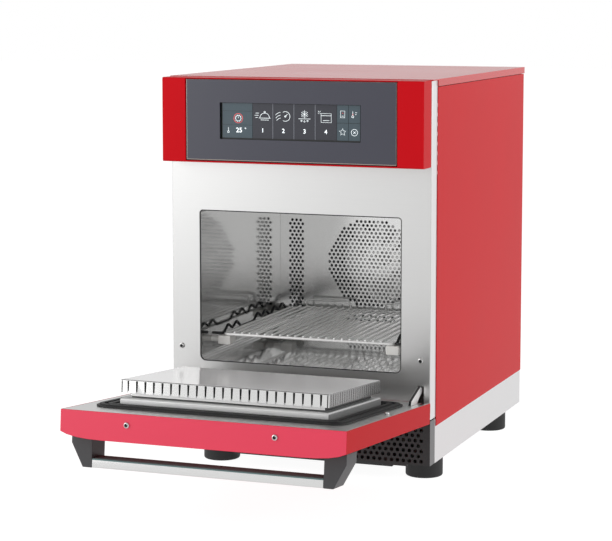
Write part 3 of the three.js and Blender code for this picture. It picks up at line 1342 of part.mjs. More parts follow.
// Door screws on the tip edge, and the bright studs that work the interlock switches
function interlockStud() {
  return turned([
    [0, 0], [STUD_RADIUS, 0], [STUD_RADIUS, STUD_HEIGHT / 2],
    [STUD_RADIUS / 2, STUD_HEIGHT], [0, STUD_HEIGHT],
  ], SCREW_SIDES);
}
const doorScrewX = doorHalf - DOOR_SCREW_FROM_SIDE;
const studX = gasketHalf + (doorHalf - gasketHalf) * STUD_ACROSS_SHARE;
for (const [sideName, side] of Object.entries(sides)) {
  const screw = place(`door_screw_${sideName}`, screwHead(), stainless(), door);
  screw.rotation.x = Math.PI / 2;
  screw.position.set(side * doorScrewX, doorTip - FIT_GAP, above(-DOOR_SCREW_BELOW_FACE));
  const stud = place(`interlock_stud_${sideName}`, interlockStud(), brightSteel(), door);
  stud.position.set(side * studX, along(STUD_ALONG), above(FIT_GAP));
}

door.rotation.x = -THREE.MathUtils.degToRad(DOOR_TILT_DEG);
door.position.set(0, -HINGE_SETBACK, hingeHeight);

// The origin: the bottom centre of the oven's box
oven.updateMatrixWorld(true);
const extent = new THREE.Box3().setFromObject(oven, true);
oven.position.y = -Math.round((extent.min.y + extent.max.y) / (2 * GRID)) * GRID;

export default oven;
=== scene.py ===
"""Dresses a counter-top high-speed oven: painted covers, brushed steel, grey glass and a slotted door plug."""

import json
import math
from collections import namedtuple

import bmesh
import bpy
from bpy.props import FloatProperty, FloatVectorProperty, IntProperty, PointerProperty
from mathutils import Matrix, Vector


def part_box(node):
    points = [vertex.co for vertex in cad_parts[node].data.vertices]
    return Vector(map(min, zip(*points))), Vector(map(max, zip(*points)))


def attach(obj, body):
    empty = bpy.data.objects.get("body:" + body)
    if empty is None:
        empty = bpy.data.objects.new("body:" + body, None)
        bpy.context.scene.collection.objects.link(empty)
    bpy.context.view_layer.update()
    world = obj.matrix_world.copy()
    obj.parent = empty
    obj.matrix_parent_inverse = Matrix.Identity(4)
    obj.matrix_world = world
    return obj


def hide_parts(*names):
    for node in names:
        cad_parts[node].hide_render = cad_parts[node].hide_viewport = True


bl_info = {
    "name": "High-speed oven",
    "version": (1, 0, 0),
    "blender": (4, 5, 0),
    "location": "View3D > Sidebar > Oven",
    "description": "Builds the finished surfaces of a high-speed oven around its frame",
    "category": "Object",
}

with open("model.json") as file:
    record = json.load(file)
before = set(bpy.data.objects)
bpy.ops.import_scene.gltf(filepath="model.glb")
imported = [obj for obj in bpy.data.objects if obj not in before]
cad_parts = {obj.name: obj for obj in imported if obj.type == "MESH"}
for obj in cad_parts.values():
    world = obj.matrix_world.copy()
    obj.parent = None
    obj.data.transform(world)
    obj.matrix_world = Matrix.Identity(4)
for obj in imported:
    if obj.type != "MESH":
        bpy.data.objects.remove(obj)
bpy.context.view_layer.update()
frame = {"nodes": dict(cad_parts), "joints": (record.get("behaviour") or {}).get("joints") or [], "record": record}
MM = 0.001
NEAR = 1e-6
SHEET = 1.5 * MM

# Places taken from the frame
BODY_OF = {
    node: body
    for body, nodes in frame["record"]["behaviour"]["bodies"].items()
    for node in nodes
}
HINGE = Vector(next(j["pos_m"] for j in frame["joints"] if j["name"] == "door_hinge"))
FACE_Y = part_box("front_frame")[0].y

# The door's own frame: its origin on the hinge axis, turned with the open door
DOOR_TILT = math.radians(5.07)
DOOR_FACE = 12.7 * MM
DOOR_PLACE = Matrix.Translation(HINGE) @ Matrix.Rotation(-DOOR_TILT, 4, "X")


# Sizes and colours that a user would change

def length_property(name, description, millimetres):
    return FloatProperty(name=name, description=description, default=millimetres * MM, unit="LENGTH")


def colour_property(name, description, value):
    return FloatVectorProperty(
        name=name, description=description, default=value, size=3, min=0, max=1, subtype="COLOR",
    )


class OvenSizes(bpy.types.PropertyGroup):
    edge_round: length_property("Edge round", "Softening of sheet edges", 0.45)
    bend_round: length_property("Bend round", "Radius of folded corners", 1.4)
    fold_round: length_property("Panel fold", "Radius of the side panels' folds", 1.3)
    back_pitch: length_property("Chamber hole pitch", "Hole pitch of the chamber back", 7.1)
    back_hole: length_property("Chamber hole", "Hole diameter of the chamber back", 4.7)
    grille_pitch: length_property("Grille hole pitch", "Hole pitch of the intake grille", 8.9)
    grille_hole: length_property("Grille hole", "Hole diameter of the intake grille", 5.6)
    rail_radius: length_property("Rack rail", "Radius of the rack's outer wire", 2.25)
    rod_radius: length_property("Rack rod", "Radius of the rack's inner wires", 1.6)
    rod_pitch: length_property("Rod pitch", "Distance between the rack's rods", 12.1)
    hole_sides: IntProperty(name="Hole sides", description="Sides of a punched hole", default=12, min=6)


class OvenColours(bpy.types.PropertyGroup):
    paint: colour_property("Paint", "Red powder coat", (0.60, 0.0065, 0.012))
    steel: colour_property("Steel", "Stainless sheet", (0.70, 0.70, 0.695))
    # The pale steel also paints light on the frame's side strips and, in the plug finish, on the plug's top
    pale_and_painted_light: colour_property("Pale steel and painted light", "Sides of the frame and the skirt", (0.86, 0.855, 0.86))
    bright: colour_property("Bright steel", "Polished stainless", (0.80, 0.80, 0.795))
    chamber: colour_property("Chamber steel", "Sleeve of the cooking chamber", (0.60, 0.60, 0.595))
    # Painted shade: a darker steel for the plug's sides facing +X and the step's side, and a painted reflection on
    # the plug's top bend
    painted_shade: colour_property("Painted shade steel", "Sides and bends of the plug and the step", (0.36, 0.36, 0.36))
    shaded: colour_property("Shaded steel", "Darker turned edges", (0.20, 0.20, 0.205))
    black: colour_property("Black coat", "Black powder coat", (0.016, 0.017, 0.018))
    grey: colour_property("Dark grey", "Handle bracket coat", (0.045, 0.045, 0.048))
    rubber: colour_property("Rubber", "Feet and door seal", (0.009, 0.009, 0.0095))
    glass: colour_property("Glass", "Control glass", (0.052, 0.053, 0.074))
    cell: colour_property("Display cell", "Dark display cells", (0.022, 0.023, 0.032))
    panel: colour_property("Display panel", "Blue grey display panels", (0.040, 0.062, 0.076))
    line: colour_property("Display line", "Lines between the cells", (0.20, 0.21, 0.24))
    icon: colour_property("Icons", "Light of the display icons", (0.80, 0.86, 0.88))
    mark: colour_property("Marks", "Red marks on the display", (0.80, 0.10, 0.10))


def sizes():
    return bpy.context.scene.oven_sizes


def colours():
    return bpy.context.scene.oven_colours


# Choosing and shaping

def deselect():
    bpy.ops.object.select_all(action="DESELECT")


def choose(*objects):
    deselect()
    for obj in objects:
        obj.select_set(True)
    bpy.context.view_layer.objects.active = objects[0]


def settle(obj):
    choose(obj)
    bpy.ops.object.transform_apply(location=True, rotation=True, scale=True)
    return obj


def block(name, low, high):
    middle = [(a + b) / 2 for a, b in zip(low, high)]
    size = [b - a for a, b in zip(low, high)]
    deselect()
    bpy.ops.mesh.primitive_cube_add(size=1, location=middle, scale=size)
    obj = bpy.context.object
    obj.name = name
    return settle(obj)


TURNS = {"X": (0, math.pi / 2, 0), "Y": (math.pi / 2, 0, 0), "Z": (0, 0, 0)}


def rod(name, radius, start, length, axis, sides):
    middle = Vector(start)
    middle["XYZ".index(axis)] += length / 2
    deselect()
    bpy.ops.mesh.primitive_cylinder_add(
        vertices=sides, radius=radius, depth=length, location=middle, rotation=TURNS[axis],
    )
    obj = bpy.context.object
    obj.name = name
    return settle(obj)


def apply_modifier(obj, kind, **settings):
    choose(obj)
    modifier = obj.modifiers.new(kind.title(), kind)
    for key, value in settings.items():
        setattr(modifier, key, value)
    bpy.ops.object.modifier_apply(modifier=modifier.name)
    return obj


def rounded(obj, width, segments=3, angle=30):
    return apply_modifier(
        obj, "BEVEL", width=width, segments=segments, limit_method="ANGLE", angle_limit=math.radians(angle),
    )


def repeated(obj, count, step):
    return apply_modifier(
        obj, "ARRAY", count=count, use_relative_offset=False, use_constant_offset=True,
        constant_offset_displace=step,
    )


def carved(obj, cutter, operation="DIFFERENCE", solver="MANIFOLD"):
    apply_modifier(obj, "BOOLEAN", operation=operation, object=cutter, solver=solver)
    bpy.data.objects.remove(cutter)
    return obj


def joined(name, *objects):
    choose(*objects)
    if len(objects) > 1:
        bpy.ops.object.join()
    obj = bpy.context.object
    obj.name = name
    return obj


# Two places on one side of the middle, the lower one first
def span(side, a, b):
    return sorted((side * a, side * b))


# A test of an edge that both its ends have to pass
def both(test):
    return lambda a, b: test(a) and test(b)


# Selects the edges or points that pass a test, and shapes them in edit mode
def reshaped(obj, kind, test, shape):
    choose(obj)
    bpy.ops.object.mode_set(mode="EDIT")
    bpy.ops.mesh.select_mode(type=kind)
    bpy.ops.mesh.select_all(action="DESELECT")
    mesh = bmesh.from_edit_mesh(obj.data)
    for part in mesh.edges if kind == "EDGE" else mesh.verts:
        part.select_set(test(part))
    if kind == "VERT":
        mesh.select_flush(True)
    bmesh.update_edit_mesh(obj.data)
    shape()
    bpy.ops.object.mode_set(mode="OBJECT")
    return obj


def round_edges(obj, width, segments, test):
    return reshaped(
        obj, "EDGE", lambda edge: test(edge.verts[0].co, edge.verts[1].co),
        lambda: bpy.ops.mesh.bevel(offset=width, segments=segments, affect="EDGES", profile=0.5),
    )


def pushed(obj, offset, test):
    return reshaped(
        obj, "VERT", lambda point: test(point.co), lambda: bpy.ops.transform.translate(value=offset),
    )


# A copy of a node's mesh as one clean surface, ready for rounding
def copied(node, name):
    choose(frame["nodes"][node])
    bpy.ops.object.duplicate()
    obj = bpy.context.object
    obj.parent = None
    for key in [key for key in obj.keys() if key.startswith("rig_")]:
        del obj[key]
    obj.name = name
    obj.data.name = name
    choose(obj)
    bpy.ops.object.mode_set(mode="EDIT")
    bpy.ops.mesh.select_all(action="SELECT")
    bpy.ops.mesh.remove_doubles(threshold=0.002 * MM)
    bpy.ops.mesh.dissolve_limited(angle_limit=math.radians(0.6))
    bpy.ops.object.mode_set(mode="OBJECT")
    return obj


def finished(obj, material, slot, body, *replaced, angle=32):
    settle(obj)
    choose(obj)
    bpy.ops.object.shade_smooth_by_angle(angle=math.radians(angle))
    apply_modifier(obj, "WEIGHTED_NORMAL", keep_sharp=True, weight=50)
    obj.data.materials.clear()
    obj.data.materials.append(material)
    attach(obj, body)
    if replaced:
        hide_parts(*replaced)
    return obj


# The node's own form with softened edges
def softened(node, material, slot, width, segments=3, angle=30):
    obj = rounded(copied(node, node + "_shaped"), width, segments, angle)
    return finished(obj, material, slot, BODY_OF[node], node)


# A second material on the faces whose middle and normal pass a test
def second_tone(obj, material, test):
    obj.data.materials.append(material)
    index = len(obj.data.materials) - 1
    for face in obj.data.polygons:
        if test(face.center, face.normal):
            face.material_index = index
    return obj


# The points of a wire with its corners bent to a radius
def bent_path(points, bend, steps, closed=False):
    corners = [Vector(p) for p in points]
    count = len(corners)
    path = []
    for i, corner in enumerate(corners):
        if not closed and i in (0, count - 1):
            path.append(corner)
            continue
        before = corner + (corners[i - 1] - corner).normalized() * bend
        after = corner + (corners[(i + 1) % count] - corner).normalized() * bend
        for k in range(steps + 1):
            t = k / steps
            path.append(before.lerp(corner, t).lerp(corner.lerp(after, t), t))
    return path


def wire(name, points, radius, bend=0, steps=4, closed=False, sides=3):
    path = bent_path(points, bend, steps, closed) if bend else [Vector(p) for p in points]
    curve = bpy.data.curves.new(name, "CURVE")
    curve.dimensions = "3D"
    curve.bevel_depth = radius
    curve.bevel_resolution = sides
    curve.use_fill_caps = True
    spline = curve.splines.new("POLY")
    spline.points.add(len(path) - 1)
    for point, place in zip(spline.points, path):
        point.co = (*place, 1)
    spline.use_cyclic_u = closed
    obj = bpy.data.objects.new(name, curve)
    bpy.context.scene.collection.objects.link(obj)
    choose(obj)
    bpy.ops.object.convert(target="MESH")
    return bpy.context.object


# Node trees

def add_node(tree, kind, values=None, **settings):
    node = tree.nodes.new(kind)
    for key, value in settings.items():
        setattr(node, key, value)
    for key, value in (values or {}).items():
        node.inputs[key].default_value = value
    return node


def connect(tree, *pairs):
    for output, socket in pairs:
        tree.links.new(output, socket)


def new_group(name, inputs, outputs):
    tree = bpy.data.node_groups.new(name, "ShaderNodeTree")
    for direction, sockets in (("INPUT", inputs), ("OUTPUT", outputs)):
        for label, kind in sockets.items():
            tree.interface.new_socket(name=label, in_out=direction, socket_type=f"NodeSocket{kind}")
    return tree, tree.nodes.new("NodeGroupInput"), tree.nodes.new("NodeGroupOutput")


# Each effect's name, with the noise of its grain and of the slow changes of tone under it
EFFECTS = {
    "brushed": ("Brushed grain", {"Detail": 5, "Roughness": 0.65}, {"Scale": 6, "Detail": 2, "Roughness": 0.5}),
    "pebbled": ("Pebbled skin", {"Detail": 3, "Roughness": 0.5}, {"Scale": 9, "Detail": 3, "Roughness": 0.55}),
}


# Stretched scratches of a brushed sheet, or the pebbled height of powder coat, moulding and rubber
def effect_group(kind):
    name, fine, slow = EFFECTS[kind]
    inputs = {"Scale": "Float", "Colour": "Color", "Shade": "Float", "Roughness": "Float", "Spread": "Float"}
    if kind == "brushed":
        inputs["Along"] = "Vector"
    tree, given, out = new_group(name, inputs, {"Height": "Float", "Roughness": "Float", "Colour": "Color"})
    place = add_node(tree, "ShaderNodeTexCoord").outputs["Object"]
    grain = add_node(tree, "ShaderNodeTexNoise", fine)
    cloud = add_node(tree, "ShaderNodeTexNoise", slow)
    blotch = add_node(tree, "ShaderNodeMath", {1: 0.5}, operation="SUBTRACT")
    rough = add_node(tree, "ShaderNodeMath", operation="MULTIPLY_ADD")
    shade = add_node(tree, "ShaderNodeMath", {2: 1}, operation="MULTIPLY_ADD")
    tint = add_node(tree, "ShaderNodeVectorMath", operation="SCALE")
    grain_place, tone = place, blotch.outputs[0]
    if kind == "brushed":
        stretch = add_node(tree, "ShaderNodeVectorMath", operation="MULTIPLY")
        centred = add_node(tree, "ShaderNodeMath", {1: 0.5}, operation="SUBTRACT")
        mixed = add_node(tree, "ShaderNodeMath", {1: 0.5}, operation="MULTIPLY_ADD")
        connect(
            tree, (place, stretch.inputs[0]), (given.outputs["Along"], stretch.inputs[1]),
            (grain.outputs["Fac"], centred.inputs[0]), (tone, mixed.inputs[0]),
            (centred.outputs[0], mixed.inputs[2]),
        )
        grain_place, tone = stretch.outputs[0], mixed.outputs[0]
    connect(
        tree, (grain_place, grain.inputs["Vector"]), (given.outputs["Scale"], grain.inputs["Scale"]),
        (place, cloud.inputs["Vector"]), (cloud.outputs["Fac"], blotch.inputs[0]),
        (tone, rough.inputs[0]), (given.outputs["Spread"], rough.inputs[1]),
        (given.outputs["Roughness"], rough.inputs[2]), (tone, shade.inputs[0]),
        (given.outputs["Shade"], shade.inputs[1]), (given.outputs["Colour"], tint.inputs[0]),
        (shade.outputs[0], tint.inputs["Scale"]), (grain.outputs["Fac"], out.inputs["Height"]),
        (rough.outputs[0], out.inputs["Roughness"]), (tint.outputs[0], out.inputs["Colour"]),
    )
    return tree


# Finishes: along is the stretch of a brushed grain, none on a pebbled skin; depth is in millimetres
Finish = namedtuple(
    "Finish", "title colour along scale roughness spread shade bump depth metallic shine", defaults=(0, 0.5),
)
FINISHES = {
    "brushed": Finish("Brushed stainless", "steel", (1, 60, 60), 16, 0.31, 0.10, 0.05, 0.05, 0.02, 1),
    "skirt": Finish("Brushed skirt", "pale_and_painted_light", (60, 1, 60), 16, 0.36, 0.08, 0.04, 0.05, 0.02, 1),
    "chamber": Finish("Chamber stainless", "chamber", (14, 1, 14), 9, 0.10, 0.06, 0.05, 0.03, 0.04, 1),
    "chamber_back": Finish(
        "Chamber back stainless", "bright", (14, 14, 1), 9, 0.17, 0.06, 0.05, 0.04, 0.05, 1,
    ),
    "chamber_floor": Finish(
        "Chamber floor stainless", (0.90, 0.90, 0.895), (1, 3, 1), 9, 0.06, 0.04, 0.05, 0.20, 0.5, 0.7,
    ),
    # A darker copy of the plug's steel: painted shade on its sides and a painted reflection on its top bend; the
    # step's side takes the same colour
    "painted_shade": Finish("Stainless with painted shade", "painted_shade", (50, 50, 1), 18, 0.24, 0.08, 0.08, 0.04, 0.02, 1),
    "step_side_painted_shade": Finish("Step side stainless with painted shade", "painted_shade", (50, 50, 1), 18, 0.24, 0.08, 0.08, 0.04, 0.02, 0.35),
    # The frame's side strips: a paler, less metallic copy of the front's steel, painted light
    "pale_and_painted_light": Finish("Pale stainless with painted light", "pale_and_painted_light", (60, 60, 1), 16, 0.30, 0.08, 0.04, 0.04, 0.02, 0.6),
    # The plug's top: a pale, nearly plain copy of the plug's steel, painted light
    "plug": Finish("Plug top stainless with painted light", "pale_and_painted_light", (1, 40, 40), 14, 0.14, 0.04, 0.04, 0.02, 0.02, 0.15),
    "satin": Finish("Satin stainless", "bright", (1, 50, 50), 18, 0.36, 0.08, 0.04, 0.04, 0.02, 0.7),
    "bright": Finish("Bright stainless", "bright", (1, 50, 50), 20, 0.13, 0.06, 0.03, 0.04, 0.02, 1),
    "wire": Finish("Bright wire", (0.95, 0.95, 0.94), (20, 20, 20), 20, 0.24, 0.08, 0.04, 0.03, 0.02, 0.35),
    "shaded": Finish("Shaded stainless", "shaded", (1, 50, 50), 20, 0.34, 0.06, 0.1, 0.04, 0.02, 1),
    # The handle bar's top: a flat dark grey, a painted reflection of the dark lower front
    "bar_top_painted_reflection": Finish("Handle bar top painted reflection", (0.16, 0.26, 0.26), (1, 50, 50), 20, 0.5, 0.06, 0.1, 0.03, 0.02, 0, 0),
    "copper": Finish("Enamelled winding", (0.50, 0.17, 0.07), (60, 60, 1), 22, 0.4, 0.2, 0.4, 0.3, 0.2, 0.6),
    "zinc": Finish("Zinc plate", (0.52, 0.53, 0.54), None, 260, 0.42, 0.15, 0.25, 0.06, 0.05, 1),
    "black": Finish("Black powder coat", "black", None, 1400, 0.46, 0.1, 0.2, 0.25, 0.05),
    "grey": Finish("Dark grey coat", "grey", None, 1500, 0.42, 0.08, 0.12, 0.2, 0.05),
    "rubber": Finish("Black rubber", "rubber", None, 1100, 0.55, 0.12, 0.2, 0.3, 0.06),
    "glass": Finish("Control glass", "glass", None, 30, 0.24, 0.03, 0.08, 0.01, 0.02),
    "glass_edge": Finish("Ground glass edge", (0.55, 0.53, 0.48), None, 1200, 0.5, 0.1, 0.1, 0.2, 0.04),
    "wool": Finish("Mineral wool", (0.66, 0.60, 0.44), None, 480, 0.95, 0.05, 0.6, 0.9, 0.6),
    "ceramic": Finish("White ceramic", (0.86, 0.85, 0.82), None, 700, 0.35, 0.08, 0.06, 0.08, 0.04),
    "board": Finish("Green board", (0.014, 0.10, 0.045), None, 350, 0.5, 0.2, 0.5, 0.15, 0.1),
    "floor": Finish("Pale floor", (0.22, 0.22, 0.22), None, 40, 0.8, 0.06, 0.02, 0.02, 0.1, 0, 0),
}

# The same red on four pieces and an edge: title, shine, roughness, strength of the red and of the rest. The door's
# red is a little darker, painted shade, and its front edge much lighter, a painted highlight
REDS = {
    "panel": ("Red powder coat", 0.042, 0.26, 1, 1),
    "fascia": ("Red fascia coat", 0.04, 0.30, 1, 1),
    "lid": ("Red lid coat", 0.72, 0.22, 1, 1),
    "door": ("Red door coat with painted shade", 0.03, 0.30, 0.88, 1),
    "door_edge_painted_highlight": ("Red door edge painted highlight", 0.75, 0.36, 1.35, 2.4),
}


# One material from a finish, with its own plain values on the shader
def surface(look, colour, **shader):
    material = bpy.data.materials.get(look.title)
    if material:
        return material
    material = bpy.data.materials.new(look.title)
    material.use_nodes = True
    material.diffuse_color = (*colour, 1)
    tree = material.node_tree
    principled = tree.nodes["Principled BSDF"]
    shader.update(Metallic=look.metallic, Specular_IOR_Level=look.shine)
    for key, value in shader.items():
        principled.inputs[key.replace("_", " ")].default_value = value
    kind = "brushed" if look.along else "pebbled"
    values = {
        "Colour": (*colour, 1), "Scale": look.scale, "Roughness": look.roughness, "Spread": look.spread,
        "Shade": look.shade,
    }
    if look.along:
        values["Along"] = look.along
    group = bpy.data.node_groups.get(EFFECTS[kind][0]) or effect_group(kind)
    effect = add_node(tree, "ShaderNodeGroup", values, node_tree=group)
    relief = add_node(tree, "ShaderNodeBump", {"Strength": look.bump, "Distance": look.depth * MM})
    connect(
        tree, (effect.outputs["Colour"], principled.inputs["Base Color"]),
        (effect.outputs["Roughness"], principled.inputs["Roughness"]),
        (effect.outputs["Height"], relief.inputs["Height"]),
        (relief.outputs["Normal"], principled.inputs["Normal"]),
    )
    return material


def finish(key, **shader):
    look = FINISHES[key]
    colour = getattr(colours(), look.colour) if isinstance(look.colour, str) else look.colour
    return surface(look, colour, **shader)


def red_paint(key):
    title, shine, roughness, strength, rest = REDS[key]
    red, green, blue = colours().paint
    look = Finish(title, None, None, 520, roughness, 0.05, 0.06, 0.10, 0.05, 0, shine)
    return surface(look, (red * strength, green * rest, blue * rest * rest))


def display_surface(tone, glow):
    colour = getattr(colours(), tone)
    look = Finish(f"Display {tone}", None, None, 90, 0.3, 0.05, 0.08, 0.01, 0.02)
    return surface(look, colour, Emission_Color=(*colour, 1), Emission_Strength=glow)


# Cabinet covers: the side panels stand less proud than their solids and begin behind a wider strip
STRIP_EXTRA = 2.4 * MM
PANEL_SINK = 0.8 * MM
PANEL_LAP = 0.25 * MM
LID_INSIDE = 199.6 * MM
LID_SHEET = 1.6 * MM
PANEL_FRONT_ROUND = 0.5 * MM
PANEL_CUT_DEPTH = 1.1 * MM
PANEL_CUT_HEIGHT = 11 * MM

# The fascia's wall, the gap round the glass, the bends of its ends and of its window, and its black mask, painted
# shade in that gap
FASCIA_WALL = 2 * MM
GLASS_GAP = 1.5 * MM
FASCIA_BEND = 2.5 * MM
WINDOW_BEND = 1.4 * MM
MASK_WIDTH = 3 * MM
MASK_DEPTH = 0.6 * MM
MASK_BELOW = 1.4 * MM
MASK_ABOVE = 0.4 * MM


class OVEN_OT_covers(bpy.types.Operator):
    """Side panels, lid and fascia shell in red powder coat"""
    bl_idname = "oven.covers"
    bl_label = "Painted covers"

    def execute(self, context):
        self.lid()
        for side in (-1, 1):
            self.side_panel(side)
        self.fascia()
        return {"FINISHED"}

    # The lid's side rims stop behind the frame's side strip
    def lid(self):
        low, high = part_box("top_cover")
        strip_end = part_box("front_frame")[1].y + STRIP_EXTRA
        lid = copied("top_cover", "top_cover_shaped")
        for side in (-1, 1):
            x0, x1 = span(side, LID_INSIDE, high.x + MM)
            carved(lid, block("corner", (x0, low.y - MM, low.z - MM), (x1, strip_end, high.z - LID_SHEET)))
        rounded(lid, sizes().edge_round)
        finished(lid, red_paint("lid"), "red_paint", "cabinet", "top_cover")

    # The sheet is folded round along its front and lower edges, with a short cut at the corner
    def side_panel(self, side):
        node = "side_panel_right" if side > 0 else "side_panel_left"
        low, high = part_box(node)
        near, front_strip = 0.02 * MM, 5 * MM
        outside = side * (high.x if side > 0 else -low.x)
        panel = copied(node, node + "_shaped")
        front = low.y
        back_by = STRIP_EXTRA - PANEL_LAP
        pushed(panel, (0, back_by, 0), lambda p: p.y < front + front_strip)
        low.y += back_by
        pushed(panel, (-side * PANEL_SINK, 0, 0), lambda p: abs(p.x - outside) < near)
        outside -= side * PANEL_SINK
        outer = lambda p: abs(p.x - outside) < near
        round_edges(panel, sizes().fold_round, 4, both(lambda p: outer(p) and p.z - low.z < near))
        round_edges(panel, PANEL_FRONT_ROUND, 3, both(lambda p: outer(p) and p.y - low.y < near))
        carved(panel, block(
            "corner", (low.x - MM, low.y - MM, low.z - MM),
            (high.x + MM, low.y + PANEL_CUT_DEPTH, low.z + PANEL_CUT_HEIGHT),
        ))
        rounded(panel, sizes().edge_round, 2, 40)
        finished(panel, red_paint("panel"), "red_paint", "cabinet", node)

    # A hollow shell with a window for the glass, and a black mask behind the seam round the glass, painted shade
    # in the gap
    def fascia(self):
        low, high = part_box("fascia_shell")
        low.x += FASCIA_LESS_LEFT
        high.x -= FASCIA_LESS_RIGHT
        glass_low, glass_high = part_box("control_glass")
        glass_low.x, glass_high.x = (x * PANEL_NARROW + PANEL_SHIFT for x in (glass_low.x, glass_high.x))
        glass_low.z += GLASS_LIFT
        wall, fit, near = FASCIA_WALL, GLASS_GAP, 0.01 * MM
        shell = block("fascia_shell_shaped", low, high)
        round_edges(shell, FASCIA_BEND, 5, lambda a, b: a.y == b.y == low.y and a.z == b.z)
        carved(shell, block(
            "pocket", low + Vector((wall, wall, wall)), (high.x - wall, high.y + wall, high.z - wall),
        ), solver="EXACT")
        carved(shell, block(
            "window", (glass_low.x - fit, low.y - wall, glass_low.z - fit),
            (glass_high.x + fit, low.y + 1.5 * wall, glass_high.z + fit),
        ), solver="EXACT")
        apply_modifier(shell, "TRIANGULATE")
        edges = (glass_low.x - fit, glass_high.x + fit)
        on_edge = lambda p: min(abs(p.x - x) for x in edges) < near and abs(p.y - low.y) < near
        round_edges(shell, WINDOW_BEND, 3, lambda a, b: on_edge(a) and on_edge(b) and abs(a.x - b.x) < near)
        rounded(shell, sizes().edge_round, 3, 40)
        mask_y, wide = glass_high.y + 0.2 * MM, MASK_WIDTH
        x0, x1 = glass_low.x - wide, glass_high.x + wide
        z0, z1 = glass_low.z - MASK_BELOW, glass_high.z + MASK_ABOVE
        strips = (
            (x0, x1, z0, z0 + 2 * wide), (x0, x1, z1 - 2 * wide, z1), (x0, x0 + 3 * wide, z0, z1),
            (x1 - 3 * wide, x1, z0, z1),
        )
        mask = [block("mask", (a, mask_y, c), (b, mask_y + MASK_DEPTH, d)) for a, b, c, d in strips]
        shell = joined("fascia_shell_shaped", shell, *mask)
        finished(shell, red_paint("fascia"), "red_paint", "cabinet", "fascia_shell")
        margin = 0.05 * MM
        in_depth = lambda p: mask_y - margin < p.y < mask_y + MASK_DEPTH + margin
        inside = lambda p: abs(p.x) < high.x - 3 * wall and low.z + wall < p.z < high.z - wall
        # The mask takes black rubber: painted shade behind the gap round the glass
        second_tone(shell, finish("rubber"), lambda p, n: in_depth(p) and inside(p))


# Inner and outer edge, bottom and top of the hinge slot and of the notch beside it, in millimetres
FRAME_SLOTS = ((181, 190.4, 111, 151.3), (188.5, 195.4, 107.6, 125.4))
FRAME_BOTTOM = 102.8 * MM


class OVEN_OT_frame(bpy.types.Operator):
    """Front frame with its chamber mouth, the base with its skirt, the back panel and the gland"""
    bl_idname = "oven.frame"
    bl_label = "Frame and base"

    def execute(self, context):
        self.front()
        softened("base_pan", finish("skirt"), "stainless", sizes().edge_round, 2)
        softened("back_panel", finish("zinc"), "zinc", 0.3 * MM, 2)
        softened("cable_gland", finish("rubber"), "black_rubber", 0.5 * MM, 2)
        return {"FINISHED"}

    def front(self):
        low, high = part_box("front_frame")
        before, behind = low.y - SHEET, low.y + 2 * SHEET
        plate = block("front_frame_shaped", (low.x, low.y, FRAME_BOTTOM), (high.x, low.y + SHEET, high.z))
        carved(plate, mouth_block("mouth", MOUTH_FIT, before, behind))
        for side in (-1, 1):
            for inner, outer, bottom, top in FRAME_SLOTS:
                x0, x1 = span(side, inner * MM, outer * MM)
                carved(plate, block("slot", (x0, before, bottom * MM), (x1, behind, top * MM)))
            x0, x1 = span(side, high.x, high.x - SHEET)
            side_strip = block("return", (x0, low.y, FRAME_BOTTOM), (x1, high.y + STRIP_EXTRA, high.z))
            carved(plate, side_strip, "UNION")
        near = 0.05 * MM
        at_face = lambda p: abs(p.y - low.y) < near and p.z > FRAME_BOTTOM - near
        at_corner = lambda p: at_face(p) and abs(abs(p.x) - high.x) < near
        upright = lambda a, b: abs(a.x - b.x) < near and abs(a.z - b.z) > near
        round_edges(
            plate, sizes().bend_round, 4, lambda a, b: at_corner(a) and at_corner(b) and upright(a, b),
        )
        rounded(plate, 0.35 * MM, 2, 40)
        finished(plate, finish("brushed"), "stainless", "cabinet", "front_frame")
        # The frame's side strips take a paler steel: painted light
        second_tone(plate, finish("pale_and_painted_light"), lambda p, n: abs(n.x) > 0.95 and abs(p.x) > high.x - 0.1 * MM)


# The chamber's section as a block: straight sides, rounder at the floor than at the ceiling
CHAMBER_FLOOR = 167 * MM
CHAMBER_TOP = 391.4 * MM
CHAMBER_HALF = 156 * MM
FLOOR_RADIUS = 9 * MM
CEILING_RADIUS = 5 * MM
MOUTH_FIT = 0.2 * MM
MOUTH_SEAM = 1.2 * MM
SEAM_SETBACK = 0.4 * MM


def mouth_block(name, grow, y0, y1):
    half, bottom, top = CHAMBER_HALF + grow, CHAMBER_FLOOR - grow, CHAMBER_TOP + grow
    obj = block(name, (-half, y0, bottom), (half, y1, top))
    middle = (CHAMBER_FLOOR + CHAMBER_TOP) / 2
    near = 1e-5
    along_y = lambda a, b: abs(a.x - b.x) < NEAR and abs(a.z - b.z) < NEAR
    at_top = lambda p: p.z > top - near and abs(abs(p.x) - half) < near
    round_edges(obj, FLOOR_RADIUS + grow, 8, lambda a, b: along_y(a, b) and a.z < middle)
    round_edges(obj, CEILING_RADIUS + grow, 6, lambda a, b: along_y(a, b) and at_top(a))
    return obj


FOOT_LOWER_ROUND = 3 * MM
FOOT_UPPER_ROUND = 0.8 * MM


class OVEN_OT_feet(bpy.types.Operator):
    """Four round rubber feet with a softened lower edge and a lightly broken upper one"""
    bl_idname = "oven.feet"
    bl_label = "Feet"

    def execute(self, context):
        for node in ("foot_front_left", "foot_front_right", "foot_rear_left", "foot_rear_right"):
            low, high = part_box(node)
            middle = (low + high) / 2
            radius = (high.x - low.x) / 2
            foot = rod(node + "_shaped", radius, (middle.x, middle.y, low.z), high.z - low.z, "Z", 64)
            for z, width, segments in ((low.z, FOOT_LOWER_ROUND, 5), (high.z, FOOT_UPPER_ROUND, 2)):
                round_edges(foot, width, segments, both(lambda p: abs(p.z - z) < NEAR))
            finished(foot, finish("rubber"), "black_rubber", "cabinet", node)
        return {"FINISHED"}


